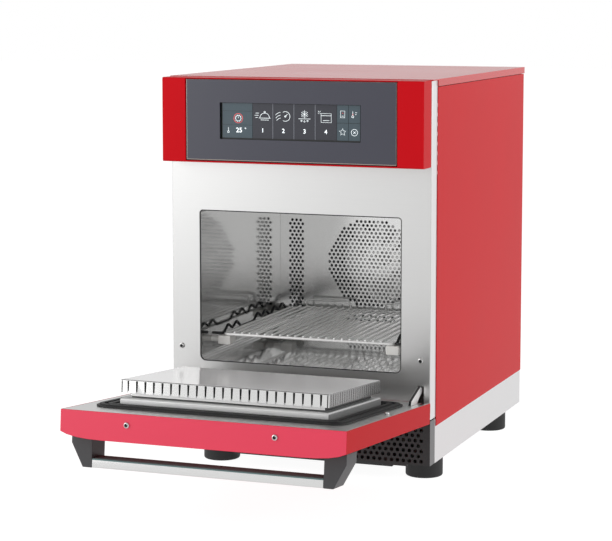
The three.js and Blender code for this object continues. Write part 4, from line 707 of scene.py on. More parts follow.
# A row of round cutters along X
def hole_row(radius, x, y, z, depth, count, pitch):
    row = rod("holes", radius, (x, y, z), depth, "Y", sizes().hole_sides)
    return repeated(row, count, (pitch, 0, 0)) if count > 1 else row


# The grille's staggered rows, and the lip under it with a passage for the filter tray
GRILLE_RISE = 0.848
GRILLE_FIRST_ROW = 5.6 * MM
GRILLE_TOP_MARGIN = 5 * MM
GRILLE_SIDE_MARGIN = 8 * MM
LIP_DROP = 2.6 * MM
LIP_END = 165 * MM
TRAY_HEADROOM = 0.1 * MM


class OVEN_OT_grille(bpy.types.Operator):
    """Black intake grille under the door, punched in staggered rows, and the filter tray with its rails"""
    bl_idname = "oven.grille"
    bl_label = "Intake grille"

    def execute(self, context):
        low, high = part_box("lower_grille")
        frame_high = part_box("front_frame")[1]
        wide, top = frame_high.x, high.z - SHEET
        plate = block("lower_grille_shaped", (-wide, low.y, low.z), (wide, low.y + SHEET, top))
        carved(plate, block("flange", (low.x, low.y, top - SHEET), (high.x, high.y, top)), "UNION")
        lip = block("lip", (low.x, low.y, low.z - LIP_DROP), (LIP_END, high.y, low.z + SHEET / 2))
        tray_low, tray_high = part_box("filter_tray")
        carved(lip, block(
            "passage", (tray_low.x - MM, low.y - MM, low.z - LIP_DROP - MM),
            (tray_high.x + MM, high.y + MM, low.z + TRAY_HEADROOM),
        ))
        carved(plate, lip, "UNION")
        for side in (-1, 1):
            x0, x1 = span(side, wide - SHEET, wide)
            carved(plate, block("cheek", (x0, low.y, low.z), (x1, frame_high.y, top)), "UNION")
        carved(plate, self.holes(low, high))
        finished(plate, finish("black"), "black_metal", "cabinet", "lower_grille")
        # The grille's side cheeks take a grey steel rather than the black coat: a painted reflection on the black
        # cheeks
        second_tone(plate, finish("shaded"), lambda p, n: abs(p.x) > wide - 0.1 * MM and abs(n.x) > 0.95)
        softened("filter_tray", finish("black"), "black_metal", 0.4 * MM, 2)
        for side in ("left", "right"):
            softened(f"filter_rail_{side}", finish("zinc"), "zinc", 0.3 * MM, 2)
        return {"FINISHED"}

    def holes(self, low, high):
        pitch, radius = sizes().grille_pitch, sizes().grille_hole / 2
        rise = pitch * GRILLE_RISE
        first = low.z + GRILLE_FIRST_ROW
        widest = math.floor((high.x - low.x - 2 * GRILLE_SIDE_MARGIN) / pitch)
        rows = math.floor((high.z - GRILLE_TOP_MARGIN - first) / rise) + 1
        cutters = []
        for odd in (0, 1):
            count = widest + 1 - odd
            x = -(count - 1) * pitch / 2
            row = hole_row(radius, x, low.y - SHEET, first + odd * rise, 4 * SHEET, count, pitch)
            cutters.append(repeated(row, (rows + 1 - odd) // 2, (0, 0, 2 * rise)))
        return joined("grille_holes", *cutters)


# Holes of the chamber's back: a round field before the fan, a strip on each side, a low field under the rack
BACK_RISE = 0.8535
FAN_HEIGHT = CHAMBER_FLOOR + 111 * MM
FAN_ROWS = 11
STRIP_MIDDLE = 128 * MM
STRIP_LOW = 203.7 * MM
STRIP_ROWS = 12
LOW_FIELD = 186.4 * MM
LOW_FIELD_HOLES = 12


class OVEN_OT_chamber(bpy.types.Operator):
    """Seamless chamber sleeve and its perforated back"""
    bl_idname = "oven.chamber"
    bl_label = "Chamber"

    def execute(self, context):
        self.liner()
        self.back()
        return {"FINISHED"}

    def liner(self):
        low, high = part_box("chamber_liner")
        sleeve = mouth_block("chamber_liner_shaped", SHEET, low.y, high.y)
        carved(sleeve, block("flange", low, (high.x, low.y + SHEET, high.z)), "UNION")
        carved(sleeve, mouth_block("inside", 0, low.y - SHEET, high.y + SHEET))
        front = FACE_Y + SEAM_SETBACK
        seam = mouth_block("seam", MOUTH_FIT / 2, front, low.y)
        carved(seam, mouth_block("inside", -MOUTH_SEAM, front - SHEET, low.y + SHEET))
        sleeve = joined("chamber_liner_shaped", sleeve, seam)
        finished(sleeve, finish("chamber"), "bright_steel", "cabinet", "chamber_liner")
        second_tone(sleeve, finish("chamber_floor"), lambda p, n: n.z > 0.3)
        # The seam ring's front faces take black rubber: painted shade in the gap round the mouth
        second_tone(sleeve, finish("rubber"), lambda p, n: p.y < low.y - 0.01 * MM)

    def back(self):
        low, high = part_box("chamber_back")
        plate = mouth_block("chamber_back_shaped", SHEET, low.y, high.y)
        pitch, radius = sizes().back_pitch, sizes().back_hole / 2
        half, rise = pitch / 2, pitch * BACK_RISE
        start, depth = low.y - SHEET, high.y - low.y + 2 * SHEET
        row_of = lambda x, z, count: hole_row(radius, x, start, z, depth, count, pitch)
        cutters = []
        for row in range(-FAN_ROWS, FAN_ROWS + 1):
            step = abs(row)
            reach = min(20 - step % 2, 22 - step, 40 - 3 * step)
            cutters.append(row_of(-reach * half, FAN_HEIGHT + row * rise, reach + 1))
        for side in (-1, 1):
            for odd in (0, 1):
                row = row_of(side * STRIP_MIDDLE - (3 - odd) * half, STRIP_LOW + odd * rise, 4 - odd)
                cutters.append(repeated(row, STRIP_ROWS, (0, 0, 2 * rise)))
        for odd in (0, 1):
            count = LOW_FIELD_HOLES - odd
            cutters.append(row_of(-(count - 1) * half, LOW_FIELD + odd * rise, count))
        carved(plate, joined("back_holes", *cutters))
        finished(plate, finish("chamber_back"), "bright_steel", "cabinet", "chamber_back")


# The black side wires: an outward hook at the front and three waves of two crests
WIRE_RADIUS = 2.1 * MM
WIRE_HOOK = 16 * MM
WAVE_STARTS = (6 * MM, 124 * MM, 196 * MM)
WAVE_STEP = 16.5 * MM

# The raised stops at the rack's back, from the middle outwards and up, and how deep the rods sit in the rail
STOP_INNER = 30 * MM
STOP_OUTER = 104 * MM
STOP_HEIGHT = 15 * MM
ROD_SINK = 0.8 * MM

# Bends of the rack's rail, of its stops and of the side wires, each in a few steps
RAIL_BEND = 7 * MM
STOP_BEND = 6 * MM
WIRE_BEND = 5 * MM
BEND_STEPS = 5

# A rest's white block, and its pin that begins inside the block
REST_LENGTH = 20 * MM
REST_ROUND = 1.6 * MM
PIN_RADIUS = 4.5 * MM
PIN_LAP = 3 * MM


class OVEN_OT_rack(bpy.types.Operator):
    """Bright wire rack with two raised stops, its black side wires and the white rests"""
    bl_idname = "oven.rack"
    bl_label = "Rack"

    def execute(self, context):
        low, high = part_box("wire_rack")
        rail, rod_radius, pitch = sizes().rail_radius, sizes().rod_radius, sizes().rod_pitch
        x1, y0, y1 = high.x - rail, low.y + rail, high.y - rail
        z = low.z + rail
        corners = [(-x1, y0, z), (x1, y0, z), (x1, y1, z), (-x1, y1, z)]
        loop = wire("loop", corners, rail, RAIL_BEND, BEND_STEPS, True, 4)
        count = math.floor(2 * x1 / pitch) - 1
        start = (-(count - 1) * pitch / 2, low.y, z + rail + rod_radius - ROD_SINK)
        bars = rod("bars", rod_radius, start, high.y - low.y, "Y", 12)
        bars = repeated(rounded(bars, 0.4 * MM, 2, 50), count, (pitch, 0, 0))
        parts = [loop, bars]
        for side in (-1, 1):
            inner, outer, top = side * STOP_INNER, side * STOP_OUTER, z + STOP_HEIGHT
            points = [(inner, y1, z), (inner, y1, top), (outer, y1, top), (outer, y1, z)]
            parts.append(wire("stop", points, rod_radius, STOP_BEND, BEND_STEPS))
        rack = joined("wire_rack_shaped", *parts)
        finished(rack, finish("wire"), "bright_steel", "rack", "wire_rack", angle=45)
        for name, side in (("left", -1), ("right", 1)):
            self.side_wire(name, side)
            for end in ("front", "rear"):
                self.rest(f"rack_rest_{end}_{name}", side)
        return {"FINISHED"}

    def side_wire(self, name, side):
        node = f"rack_spacer_{name}"
        low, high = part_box(node)
        x, front = (low.x + high.x) / 2, low.y + WIRE_RADIUS
        base, top = low.z + WIRE_RADIUS, high.z - WIRE_RADIUS
        points = [(x + side * WIRE_HOOK, front, base), (x, front, base)]
        for first in WAVE_STARTS:
            for i, z in enumerate((base, top, base + WIRE_RADIUS, top, base)):
                points.append((x, front + first + i * WAVE_STEP, z))
        points.append((x, high.y - WIRE_RADIUS, base))
        piece = wire(node + "_shaped", points, WIRE_RADIUS, WIRE_BEND, BEND_STEPS)
        finished(piece, finish("black"), "black_metal", "rack", node, angle=60)

    # A white block on a pin that runs into the chamber wall
    def rest(self, node, side):
        low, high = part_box(node)
        inner, stud = (low.x, high.x) if side > 0 else (high.x, low.x)
        outer = inner + side * REST_LENGTH
        x0, x1 = sorted((inner, outer))
        piece = rounded(block(node + "_shaped", (x0, low.y, low.z), (x1, high.y, high.z)), REST_ROUND, 4)
        middle = (low + high) / 2
        x0, x1 = sorted((outer - side * PIN_LAP, stud))
        carved(piece, rod("pin", PIN_RADIUS, (x0, middle.y, middle.z), x1 - x0, "X", 24), "UNION")
        finished(piece, finish("ceramic"), "white_plastic", "cabinet", node)


# The control panel is a little narrower than its solids, and the display a little less high
PANEL_NARROW = 0.979
PANEL_SHIFT = -0.9 * MM
GLASS_LIFT = 1.2 * MM
FASCIA_LESS_LEFT = 2.4 * MM
FASCIA_LESS_RIGHT = 1.6 * MM
DISPLAY_FLAT = 0.96
DISPLAY_MIDDLE = 525.6 * MM
DISPLAY_HALF = 109.5 * MM
DISPLAY_LOW = 498.9 * MM
DISPLAY_HIGH = 551.6 * MM
DISPLAY_STEP = 2 * MM
DISPLAY_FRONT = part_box("display_module")[0].y

# Tiles, numbers and icon strokes of the display: places across the oven and above the floor in millimetres
CELL_EDGES = (-58.6, -27.0, 5.9, 38.8, 71.8)
CELL_HEIGHT = (500, 552)
SIDE_PANELS = (
    (-106.4, -59.2, 540.2, 552), (-106.4, -59.2, 519.6, 539.8), (-106.4, -59.2, 500, 519.2),
    (72.4, 89.6, 526, 552), (90.2, 107.6, 526, 552), (72.4, 89.6, 500, 525.4), (90.2, 107.6, 500, 525.4),
)
NUMBERS = (
    ("25", -80, 511.4, 10), ("1", -42.8, 511.8, 9), ("2", -10.5, 511.8, 9), ("3", 22.4, 511.8, 9),
    ("4", 55.3, 511.8, 9),
)
LINE_HALF = 0.3
STROKE_RADIUS = 0.31 * MM
WELL_DEPTH = 0.5 * MM
TILE_DEPTH = 0.3 * MM
LINE_LIFT = 0.1 * MM
STROKE_LIFT = 0.1 * MM
NUMBER_LIFT = 0.2 * MM
NUMBER_DEPTH = 0.1 * MM
NUMBER_WEIGHT = 0.12 * MM
TILE_GLOW = 0.35
STROKE_GLOW = 0.85


class OVEN_OT_panel(bpy.types.Operator):
    """Grey control glass with its ground edge and the display behind its window"""
    bl_idname = "oven.panel"
    bl_label = "Control panel"

    def execute(self, context):
        self.glass()
        self.display()
        return {"FINISHED"}

    def glass(self):
        low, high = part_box("control_glass")
        low.z += GLASS_LIFT
        plate = block("control_glass_shaped", low, high)
        carved(plate, block(
            "window", (-DISPLAY_HALF, low.y - DISPLAY_STEP, DISPLAY_LOW),
            (DISPLAY_HALF, high.y + DISPLAY_STEP, DISPLAY_HIGH),
        ))
        chamfer = MM
        edge = lambda p: abs(abs(p.x) - high.x) < NEAR or abs(p.z - low.z) < NEAR or abs(p.z - high.z) < NEAR
        round_edges(plate, chamfer, 1, both(lambda p: abs(p.y - low.y) < NEAR and edge(p)))
        plate.scale.x, plate.location.x = PANEL_NARROW, PANEL_SHIFT
        finished(plate, finish("glass"), "panel_glass", "cabinet", "control_glass")
        rim = 2 * chamfer
        across = lambda p: abs(p.x - PANEL_SHIFT) / PANEL_NARROW
        at_rim = lambda p: across(p) > high.x - rim or not low.z + rim < p.z < high.z - rim
        second_tone(plate, finish("glass_edge"), lambda p, n: at_rim(p) and abs(n.y) < 0.95)

    def display(self):
        low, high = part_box("display_module")
        well = block("display_well", (low.x, low.y + WELL_DEPTH, low.z), (high.x, high.y, high.z))
        finished(as_display(well), finish("black"), "black_metal", "cabinet", "display_module")
        cells = [(a, b, *CELL_HEIGHT) for a, b in zip(CELL_EDGES, CELL_EDGES[1:])]
        lines = [(x - LINE_HALF, x + LINE_HALF, *CELL_HEIGHT) for x in CELL_EDGES[1:-1]]
        self.tiles("display_cells", "cell", cells)
        self.tiles("display_panels", "panel", SIDE_PANELS)
        self.tiles("display_lines", "line", lines, LINE_LIFT)
        for tone, chains in ICON_CHAINS.items():
            strokes = [self.stroke(chain) for chain in chains]
            if tone == "icon":
                strokes += [self.number(*entry) for entry in NUMBERS]
            self.lit(joined(f"display_{tone}_strokes", *strokes), tone, STROKE_GLOW)

    def tiles(self, name, tone, places, lift=0):
        front, back = DISPLAY_FRONT - lift, DISPLAY_FRONT + TILE_DEPTH
        plates = [
            block("tile", (x0 * MM, front, z0 * MM), (x1 * MM, back, z1 * MM)) for x0, x1, z0, z1 in places
        ]
        self.lit(joined(name, *plates), tone, TILE_GLOW)

    def lit(self, obj, tone, glow):
        finished(as_display(obj), display_surface(tone, glow), "panel_glass", "cabinet")

    def stroke(self, chain):
        points = [(x * MM, DISPLAY_FRONT - STROKE_LIFT, z * MM) for x, z in chain]
        closed = len(points) > 2 and points[0] == points[-1]
        return wire("stroke", points[:-1] if closed else points, STROKE_RADIUS, closed=closed, sides=1)

    def number(self, value, x, z, height):
        deselect()
        bpy.ops.object.text_add(
            location=(x * MM, DISPLAY_FRONT - NUMBER_LIFT, z * MM), rotation=(math.pi / 2, 0, 0),
        )
        text = bpy.context.object.data
        text.body = value
        text.size = height * MM
        text.extrude = NUMBER_DEPTH
        text.offset = NUMBER_WEIGHT
        text.align_x = text.align_y = "CENTER"
        bpy.ops.object.convert(target="MESH")
        return settle(bpy.context.object)


def as_display(obj):
    obj.scale = (PANEL_NARROW, 1, DISPLAY_FLAT)
    obj.location = (PANEL_SHIFT, 0, (1 - DISPLAY_FLAT) * DISPLAY_MIDDLE)
    return obj


# Strokes of the icons

def ring_point(x, z, radius, degrees):
    return (x + radius * math.cos(math.radians(degrees)), z + radius * math.sin(math.radians(degrees)))


def arc(x, z, radius, start=0, end=360, steps=16):
    points = [ring_point(x, z, radius, start + (end - start) * k / steps) for k in range(steps)]
    last = points[0] if end - start == 360 else ring_point(x, z, radius, end)
    return points + [last]


def moved(chains, x, z, size=1):
    return [[(x + size * a, z + size * b) for a, b in chain] for chain in chains]


def spokes(x, z, inner, outer, count, first=0):
    return [[ring_point(x, z, r, first + 360 * k / count) for r in (inner, outer)] for k in range(count)]


def star(x, z, outer, inner):
    ring = [ring_point(x, z, inner if k % 2 else outer, 90 + 36 * k) for k in range(10)]
    return [ring + ring[:1]]


# A covered dish, a dial, a thawing crystal and an oven window, then four small marks and the start ring
DISH = [
    arc(3, -3.2, 6, 0, 180), [(-4.4, -3.2), (10.4, -3.2)], [(-2, -5.4), (8, -5.4)], arc(3, 4, 1, steps=8),
    [(-8.6, 2.6), (-4.2, 2.6)], [(-9.6, 0), (-4.6, 0)], [(-8.6, -2.6), (-5.6, -2.6)],
]
DIAL = [
    arc(3, 0, 6, -120, 120), [(3, 0), (6, 3)], arc(3, 0, 1, steps=8), arc(-2, -5, 10, 98, 140, 6),
    arc(-2, -7.5, 9, 98, 145, 6), arc(-2, -9.5, 7.5, 98, 145, 6),
]
CRYSTAL = [
    *spokes(0, 2.4, 0, 5, 6, 30), *spokes(0, 2.4, 3, 4.4, 6), [(-8, -3.4), (8, -3.4)],
    arc(-4, -6, 0.9, steps=8), arc(0, -6.8, 0.9, steps=8), arc(4, -6, 0.9, steps=8),
]
WINDOW = [
    [(-5, -7), (8, -7), (8, 4), (-5, 4), (-5, -7)], [(-5, 1.4), (8, 1.4)], [(-2.6, -4.6), (5.6, -4.6)],
    *spokes(-7.4, 5.4, 0.8, 2.2, 4, 45),
]
PAGE = [[(-3.2, -5), (3.2, -5), (3.2, 5), (-3.2, 5), (-3.2, -5)], [(-1.6, -2.6), (1.6, -2.6)]]
GAUGE = [
    [(-3, -1.6), (-3, 4.6)], arc(-3, -3.2, 1.6, steps=10), [(0.6, 2.8), (3.4, 2.8)], [(0.6, 0.2), (2.6, 0.2)],
]
TARGET = [arc(0, 0, 4.4), *spokes(0, 0, 0, 2.2, 4, 45)]
THERMOMETER = [[(0, -1.2), (0, 4.2)], arc(0, -2.6, 1.4, steps=10)]
ICON_CHAINS = {
    "icon": [
        *moved(DISH, -43.4, 534.4, 1.25), *moved(DIAL, -11, 533.6, 1.2), *moved(CRYSTAL, 22.4, 534.6, 1.15),
        *moved(WINDOW, 54, 534.4, 1.2), *moved(PAGE, 81, 538.6), *moved(GAUGE, 99.4, 538.6),
        *star(81, 512.4, 5.4, 2.4), *moved(TARGET, 99.0, 512.2, 1.1), arc(-81.3, 529.4, 4.2),
        *spokes(-81.3, 529.4, 4.2, 5.4, 10), [(-81.3, 529.4), (-81.3, 532)], arc(-70, 514.4, 0.9, steps=8),
        *moved(THERMOMETER, -97, 511.4),
    ],
    "mark": [arc(-81.3, 529.4, 7, steps=24), [(80, 540.4), (82, 540.4)], [(96.4, 537.4), (96.4, 539.6)]],
}


# The choke plug, counted along the door from the hinge axis and up from its inner face
PLUG_HALF = 150.5 * MM
PLUG_SHIFT = -1.3 * MM
PLUG_NEAR = -267.4 * MM
PLUG_FAR = -58.5 * MM
PLUG_TOP = DOOR_FACE + 36 * MM
PLUG_FOOT = DOOR_FACE + 18 * MM
SLOT_COUNT = 23

# Width at the top and at the foot, and pitch, of the slots in the long and in the short sides
LONG_SLOTS = (3.2 * MM, 1.9 * MM, 12.62 * MM)
SHORT_SLOTS = (2.0 * MM, 1.3 * MM, 8.9 * MM)
CORNER_GAP = 1.6 * MM
SLOT_CLEAR = 0.1 * MM
FINGER_ROUND = 0.22 * MM
TOP_BEND_DEPTH = 1.5 * MM
SLOT_TOP = PLUG_TOP - SHEET - SLOT_CLEAR

# The neck under the plug: how far it stands back, its foot, and the foot of the dark seam under it
NECK_INSET = 11 * MM
NECK_FOOT = DOOR_FACE + 13 * MM
SEAM_FOOT = DOOR_FACE + 11.8 * MM

# The bright strip along the door skin's hinge edge, and the softening of the seal
SKIN_STRIP = 6 * MM
SEAL_ROUND = 0.9 * MM


# Moves a piece drawn in the door's own frame to its place on the open door
def onto_door(obj):
    obj.matrix_world = DOOR_PLACE @ obj.matrix_world
    return settle(obj)


def door_height(point):
    return (DOOR_PLACE.inverted() @ point).z


class OVEN_OT_door(bpy.types.Operator):
    """Door skin, inner plate, seal, step and the slotted plug"""
    bl_idname = "oven.door"
    bl_label = "Door"

    def execute(self, context):
        # The door skin's red is a little darker than the other covers: painted shade
        skin = softened("door_skin", red_paint("door"), "red_paint", sizes().edge_round, 3, 35)
        # The door's front edge faces take a much lighter red: a painted highlight
        second_tone(skin, red_paint("door_edge_painted_highlight"), lambda p, n: n.y < -0.9)
        strip_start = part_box("door_skin")[1].y - SKIN_STRIP
        second_tone(skin, finish("satin"), lambda p, n: n.z > 0.3 and p.y > strip_start)
        softened("door_inner_plate", finish("brushed"), "stainless", 0.25 * MM, 2)
        seal = rounded(copied("door_gasket", "door_gasket_shaped"), SEAL_ROUND)
        finished(seal, finish("rubber"), "black_rubber", "door", "door_gasket", angle=50)
        step = softened("door_step", finish("satin"), "stainless", 0.5 * MM)
        # The step's side faces take a darker steel: painted shade
        second_tone(step, finish("step_side_painted_shade"), lambda p, n: n.x > 0.8)
        self.comb()
        self.core()
        return {"FINISHED"}

    # A folded cover whose four sides are fingers parted by slots that narrow to their feet
    def comb(self):
        shell = block("choke_comb_shaped", (-PLUG_HALF, PLUG_NEAR, PLUG_FOOT), (PLUG_HALF, PLUG_FAR, PLUG_TOP))
        round_edges(shell, sizes().bend_round, 3, lambda a, b: max(a.z, b.z) > PLUG_FOOT + MM)
        inside = PLUG_HALF - SHEET
        carved(shell, block(
            "hollow", (-inside, PLUG_NEAR + SHEET, PLUG_FOOT - MM),
            (inside, PLUG_FAR - SHEET, PLUG_TOP - SHEET),
        ))
        carved(shell, self.slots(*LONG_SLOTS, PLUG_FAR - PLUG_NEAR, 0))
        for side in (-1, 1):
            gap_outer = inside - SLOT_CLEAR
            x0, x1 = span(side, gap_outer, gap_outer - CORNER_GAP)
            carved(shell, block("gap", (x0, PLUG_NEAR - MM, PLUG_FOOT - MM), (x1, PLUG_FAR + MM, SLOT_TOP)))
        carved(shell, self.slots(*SHORT_SLOTS, 2 * PLUG_HALF, math.pi / 2))
        shell.location.x = PLUG_SHIFT
        onto_door(rounded(shell, FINGER_ROUND, 2, 50))
        finished(shell, finish("bright"), "bright_steel", "door", "choke_comb")
        # The plug's top faces take a pale, nearly plain finish: painted light
        second_tone(shell, finish("plug"), lambda p, n: n.z > 0.95)
        top_bend = lambda p, n: door_height(p) > PLUG_TOP - TOP_BEND_DEPTH and 0.1 < n.z < 0.95
        # The plug's sides facing +X take a darker steel, painted shade, and its top bend the same, a painted
        # reflection
        second_tone(shell, finish("painted_shade"), lambda p, n: n.x > 0.8 or top_bend(p, n))

    # A row of slot cutters through both sides of the plug, narrower at their feet
    def slots(self, top_width, foot_width, pitch, depth, turn):
        reach = depth / 2 + 2 * MM
        cutter = block("slots", (-top_width / 2, -reach, PLUG_FOOT - MM), (top_width / 2, reach, SLOT_TOP))
        reshaped(cutter, "VERT", lambda point: point.co.z < PLUG_FOOT, lambda: bpy.ops.transform.resize(
            value=(foot_width / top_width, 1, 1), center_override=(0, 0, PLUG_FOOT),
        ))
        cutter.location.x = -(SLOT_COUNT - 1) * pitch / 2
        row = repeated(settle(cutter), SLOT_COUNT, (pitch, 0, 0))
        row.location.y = (PLUG_NEAR + PLUG_FAR) / 2
        row.rotation_euler.z = turn
        return settle(row)

    # Black filling behind the fingers, painted shade seen through the slots, over a bright neck and a dark seam
    def core(self):
        x, near, far = PLUG_HALF - NECK_INSET, PLUG_NEAR + NECK_INSET, PLUG_FAR - NECK_INSET
        neck_top, gap = PLUG_FOOT + MM, 0.05 * MM
        levels = (
            (neck_top, PLUG_TOP - SHEET - 0.3 * MM), (NECK_FOOT, neck_top - gap), (SEAM_FOOT, NECK_FOOT - gap),
        )
        layers = [block("layer", (-x, near, z0), (x, far, z1)) for z0, z1 in levels]
        core = joined("choke_core_shaped", *layers)
        core.location.x = PLUG_SHIFT
        onto_door(core)
        # Black above the neck: painted shade behind the slots
        finished(core, finish("black"), "black_metal", "door", "choke_core")
        on_neck = lambda p, n: NECK_FOOT < door_height(p) < neck_top - 0.5 * MM and n.x < 0.9
        second_tone(core, finish("satin"), on_neck)


class OVEN_OT_handle(bpy.types.Operator):
    """Handle bar and its two brackets"""
    bl_idname = "oven.handle"
    bl_label = "Handle"

    def execute(self, context):
        for side in ("left", "right"):
            softened(f"handle_bracket_{side}", finish("grey"), "dark_grey", 0.7 * MM)
        bar = softened("handle_bar", finish("bright"), "bright_steel", 0.4 * MM)
        # The bar's top faces take a flat dark grey: a painted reflection
        second_tone(bar, finish("bar_top_painted_reflection"), lambda p, n: n.z > 0.25)
        return {"FINISHED"}


# Above this height the edges of the hinge arms are black
HINGE_ARM_CLEAR = 118 * MM


class OVEN_OT_hinges(bpy.types.Operator):
    """Hinge arms, brackets and pins"""
    bl_idname = "oven.hinges"
    bl_label = "Hinges"

    def execute(self, context):
        edge = lambda p, n: abs(n.x) < 0.3 and (n.z > 0.4 or n.y < -0.3) and p.z > HINGE_ARM_CLEAR
        for side in ("left", "right"):
            arm = softened(f"hinge_arm_{side}", finish("wire"), "zinc", 0.4 * MM, 2)
            second_tone(arm, finish("black"), edge)
            softened(f"hinge_bracket_{side}", finish("zinc"), "zinc", 0.4 * MM, 2)
            softened(f"hinge_pin_{side}", finish("brushed"), "stainless", 0.4 * MM, 2)
        return {"FINISHED"}


SCREW_HEIGHT = 2.2 * MM
SCREW_DOME = 1.5 * MM
SOCKET_RADIUS = 2.0 * MM
SOCKET_FLOOR = 0.7 * MM


class OVEN_OT_screws(bpy.types.Operator):
    """Domed screws with a socket, and the bright studs on the door"""
    bl_idname = "oven.screws"
    bl_label = "Screws and studs"

    def execute(self, context):
        for side in ("left", "right"):
            for node in (f"frame_screw_{side}", f"door_screw_{side}"):
                self.screw(node)
            softened(f"interlock_stud_{side}", finish("bright"), "bright_steel", 0.3 * MM, 2)
        return {"FINISHED"}

    def screw(self, node):
        low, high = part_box(node)
        middle = (low + high) / 2
        head = rod(node + "_shaped", (high.x - low.x) / 2, (0, 0, 0), SCREW_HEIGHT, "Z", 32)
        round_edges(head, SCREW_DOME, 5, both(lambda p: p.z > SCREW_HEIGHT - NEAR))
        carved(head, rod("socket", SOCKET_RADIUS, (0, 0, SOCKET_FLOOR), SCREW_HEIGHT, "Z", 6))
        turn = math.pi / 2 - (DOOR_TILT if BODY_OF[node] == "door" else 0)
        head.rotation_euler = (turn, 0, 0)
        head.location = middle - Matrix.Rotation(turn, 3, "X") @ Vector((0, 0, SCREW_HEIGHT / 2))
        finished(head, finish("brushed"), "stainless", BODY_OF[node], node)
        # The socket and the middle of the head take the black coat: painted shade in the recess
        off_axis = lambda p: math.hypot(p.x - middle.x, p.z - middle.z)
        in_socket = lambda p, n: off_axis(p) < SOCKET_RADIUS and abs(n.y) < 0.99 or off_axis(p) < MM
        second_tone(head, finish("black"), in_socket)


class OVEN_OT_inside(bpy.types.Operator):
    """Finishes of the pieces inside the casing"""
    bl_idname = "oven.inside"
    bl_label = "Inner pieces"

    def execute(self, context):
        nodes_by_finish = {
            "zinc": ("fan_housing", "fan_motor", "waveguide", "magnetron"),
            "wool": ("chamber_insulation", "door_insulation"),
            "copper": ("transformer",),
            "board": ("control_board",),
            "grey": ("heater_ring",),
            "chamber": ("fan_wheel",),
            "black": ("cooling_fan_frame", "cooling_fan_rotor"),
        }
        for key, nodes in nodes_by_finish.items():
            for node in nodes:
                materials = frame["nodes"][node].data.materials
                materials.clear()
                materials.append(finish(key))
        return {"FINISHED"}


# Floor, lights and camera: a lamp's name, place, width, height and power
FLOOR_GLOW = 0.66
FLOOR_SEEN_GLOW = 0.28
SKY_BY_HEIGHT = ((0.50, 0.95), (0.80, 0.45))
LAMPS = (
    ("key", (-2.4, -1.8, 1.9), 1.8, 1.6, 34),
    ("low key", (-1.9, -2.5, 0.72), 1.5, 1.4, 9),
    ("side", (2.6, 0.6, 1.1), 1.8, 1.6, 20),
)
LAMP_TARGET = Vector((0, 0, 0.3))
FLOOR_SIZE = 30
FLOOR_DROP = 0.2 * MM
CAMERA_PLACE = (1.0592, -2.85941, 0.7163)
CAMERA_DOWN = math.radians(6.448)
CAMERA_ROUND = math.radians(20.641)
CAMERA_LENS = 122.11
CAMERA_SHIFT = -0.08


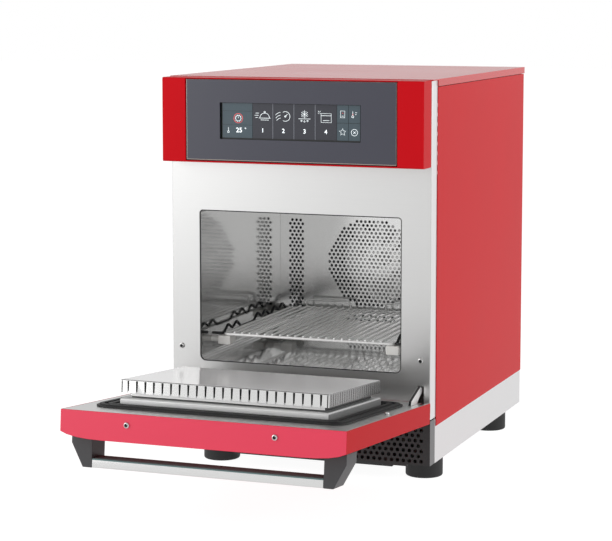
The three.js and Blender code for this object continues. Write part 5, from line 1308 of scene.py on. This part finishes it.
class OVEN_OT_stage(bpy.types.Operator):
    """Pale floor, soft lights and the camera"""
    bl_idname = "oven.stage"
    bl_label = "Stage"

    def execute(self, context):
        self.floor()
        self.world(context.scene)
        for lamp in LAMPS:
            self.softbox(*lamp)
        self.camera(context.scene)
        context.scene.view_settings.view_transform = "Standard"
        return {"FINISHED"}

    def floor(self):
        deselect()
        bpy.ops.mesh.primitive_plane_add(size=FLOOR_SIZE, location=(0, 0, -FLOOR_DROP))
        floor = bpy.context.object
        floor.name = "floor"
        material = finish("floor", Emission_Strength=1.0)
        tree = material.node_tree
        path = add_node(tree, "ShaderNodeLightPath")
        glow = add_node(tree, "ShaderNodeMath", {1: FLOOR_SEEN_GLOW, 2: FLOOR_GLOW}, operation="MULTIPLY_ADD")
        connect(
            tree, (path.outputs["Is Camera Ray"], glow.inputs[0]),
            (glow.outputs[0], tree.nodes["Principled BSDF"].inputs["Emission Color"]),
        )
        floor.data.materials.append(material)

    # White behind the object, and a sky that lights it more from the horizon than from above
    def world(self, scene):
        world = bpy.data.worlds.new("Studio")
        scene.world = world
        world.use_nodes = True
        tree = world.node_tree
        background = tree.nodes["Background"]
        background.inputs["Strength"].default_value = 1.0
        place = add_node(tree, "ShaderNodeTexCoord")
        split = add_node(tree, "ShaderNodeSeparateXYZ")
        height = add_node(tree, "ShaderNodeMath", {1: 0.5, 2: 0.5}, operation="MULTIPLY_ADD")
        ramp = add_node(tree, "ShaderNodeValToRGB")
        for end, (position, value) in zip(ramp.color_ramp.elements, SKY_BY_HEIGHT):
            end.position = position
            end.color = (value, value, value, 1)
        path = add_node(tree, "ShaderNodeLightPath")
        mix = add_node(tree, "ShaderNodeMix", {7: (1, 1, 1, 1)}, data_type="RGBA")
        connect(
            tree, (place.outputs["Generated"], split.inputs[0]), (split.outputs["Z"], height.inputs[0]),
            (height.outputs[0], ramp.inputs["Fac"]), (path.outputs["Is Camera Ray"], mix.inputs["Factor"]),
            (ramp.outputs["Color"], mix.inputs[6]), (mix.outputs[2], background.inputs["Color"]),
        )

    def softbox(self, name, place, width, height, power):
        deselect()
        bpy.ops.object.light_add(type="AREA", location=place)
        lamp = bpy.context.object
        lamp.name = name
        lamp.data.shape = "RECTANGLE"
        lamp.data.size = width
        lamp.data.size_y = height
        lamp.data.energy = power
        lamp.visible_camera = False
        lamp.rotation_euler = (LAMP_TARGET - Vector(place)).to_track_quat("-Z", "Y").to_euler()

    def camera(self, scene):
        deselect()
        bpy.ops.object.camera_add(location=CAMERA_PLACE)
        camera = bpy.context.object
        camera.name = "camera"
        camera.rotation_euler = (math.pi / 2 - CAMERA_DOWN, 0, CAMERA_ROUND)
        camera.data.sensor_width = 36
        camera.data.lens = CAMERA_LENS
        camera.data.shift_y = CAMERA_SHIFT
        scene.camera = camera


class OVEN_PT_sidebar(bpy.types.Panel):
    """Lists the oven's sizes, colours and building steps"""
    bl_idname = "OVEN_PT_sidebar"
    bl_label = "High-speed oven"
    bl_space_type = "VIEW_3D"
    bl_region_type = "UI"
    bl_category = "Oven"

    def draw(self, context):
        layout = self.layout
        for settings in (context.scene.oven_sizes, context.scene.oven_colours):
            for key in settings.__annotations__:
                layout.prop(settings, key)
        for step in STEPS:
            layout.operator(step.bl_idname)


STEPS = (
    OVEN_OT_stage, OVEN_OT_covers, OVEN_OT_frame, OVEN_OT_feet, OVEN_OT_grille, OVEN_OT_chamber,
    OVEN_OT_rack, OVEN_OT_panel, OVEN_OT_door, OVEN_OT_handle, OVEN_OT_hinges, OVEN_OT_screws,
    OVEN_OT_inside,
)
CLASSES = (OvenSizes, OvenColours, *STEPS, OVEN_PT_sidebar)


def register():
    for item in CLASSES:
        bpy.utils.register_class(item)
    bpy.types.Scene.oven_sizes = PointerProperty(type=OvenSizes)
    bpy.types.Scene.oven_colours = PointerProperty(type=OvenColours)


def unregister():
    del bpy.types.Scene.oven_sizes
    del bpy.types.Scene.oven_colours
    for item in reversed(CLASSES):
        bpy.utils.unregister_class(item)


def main():
    register()
    for step in STEPS:
        category, name = step.bl_idname.split(".")
        result = getattr(getattr(bpy.ops, category), name)()
        if result != {"FINISHED"}:
            raise RuntimeError(f"{step.bl_label} did not finish")


if __name__ == "__main__":
    main()
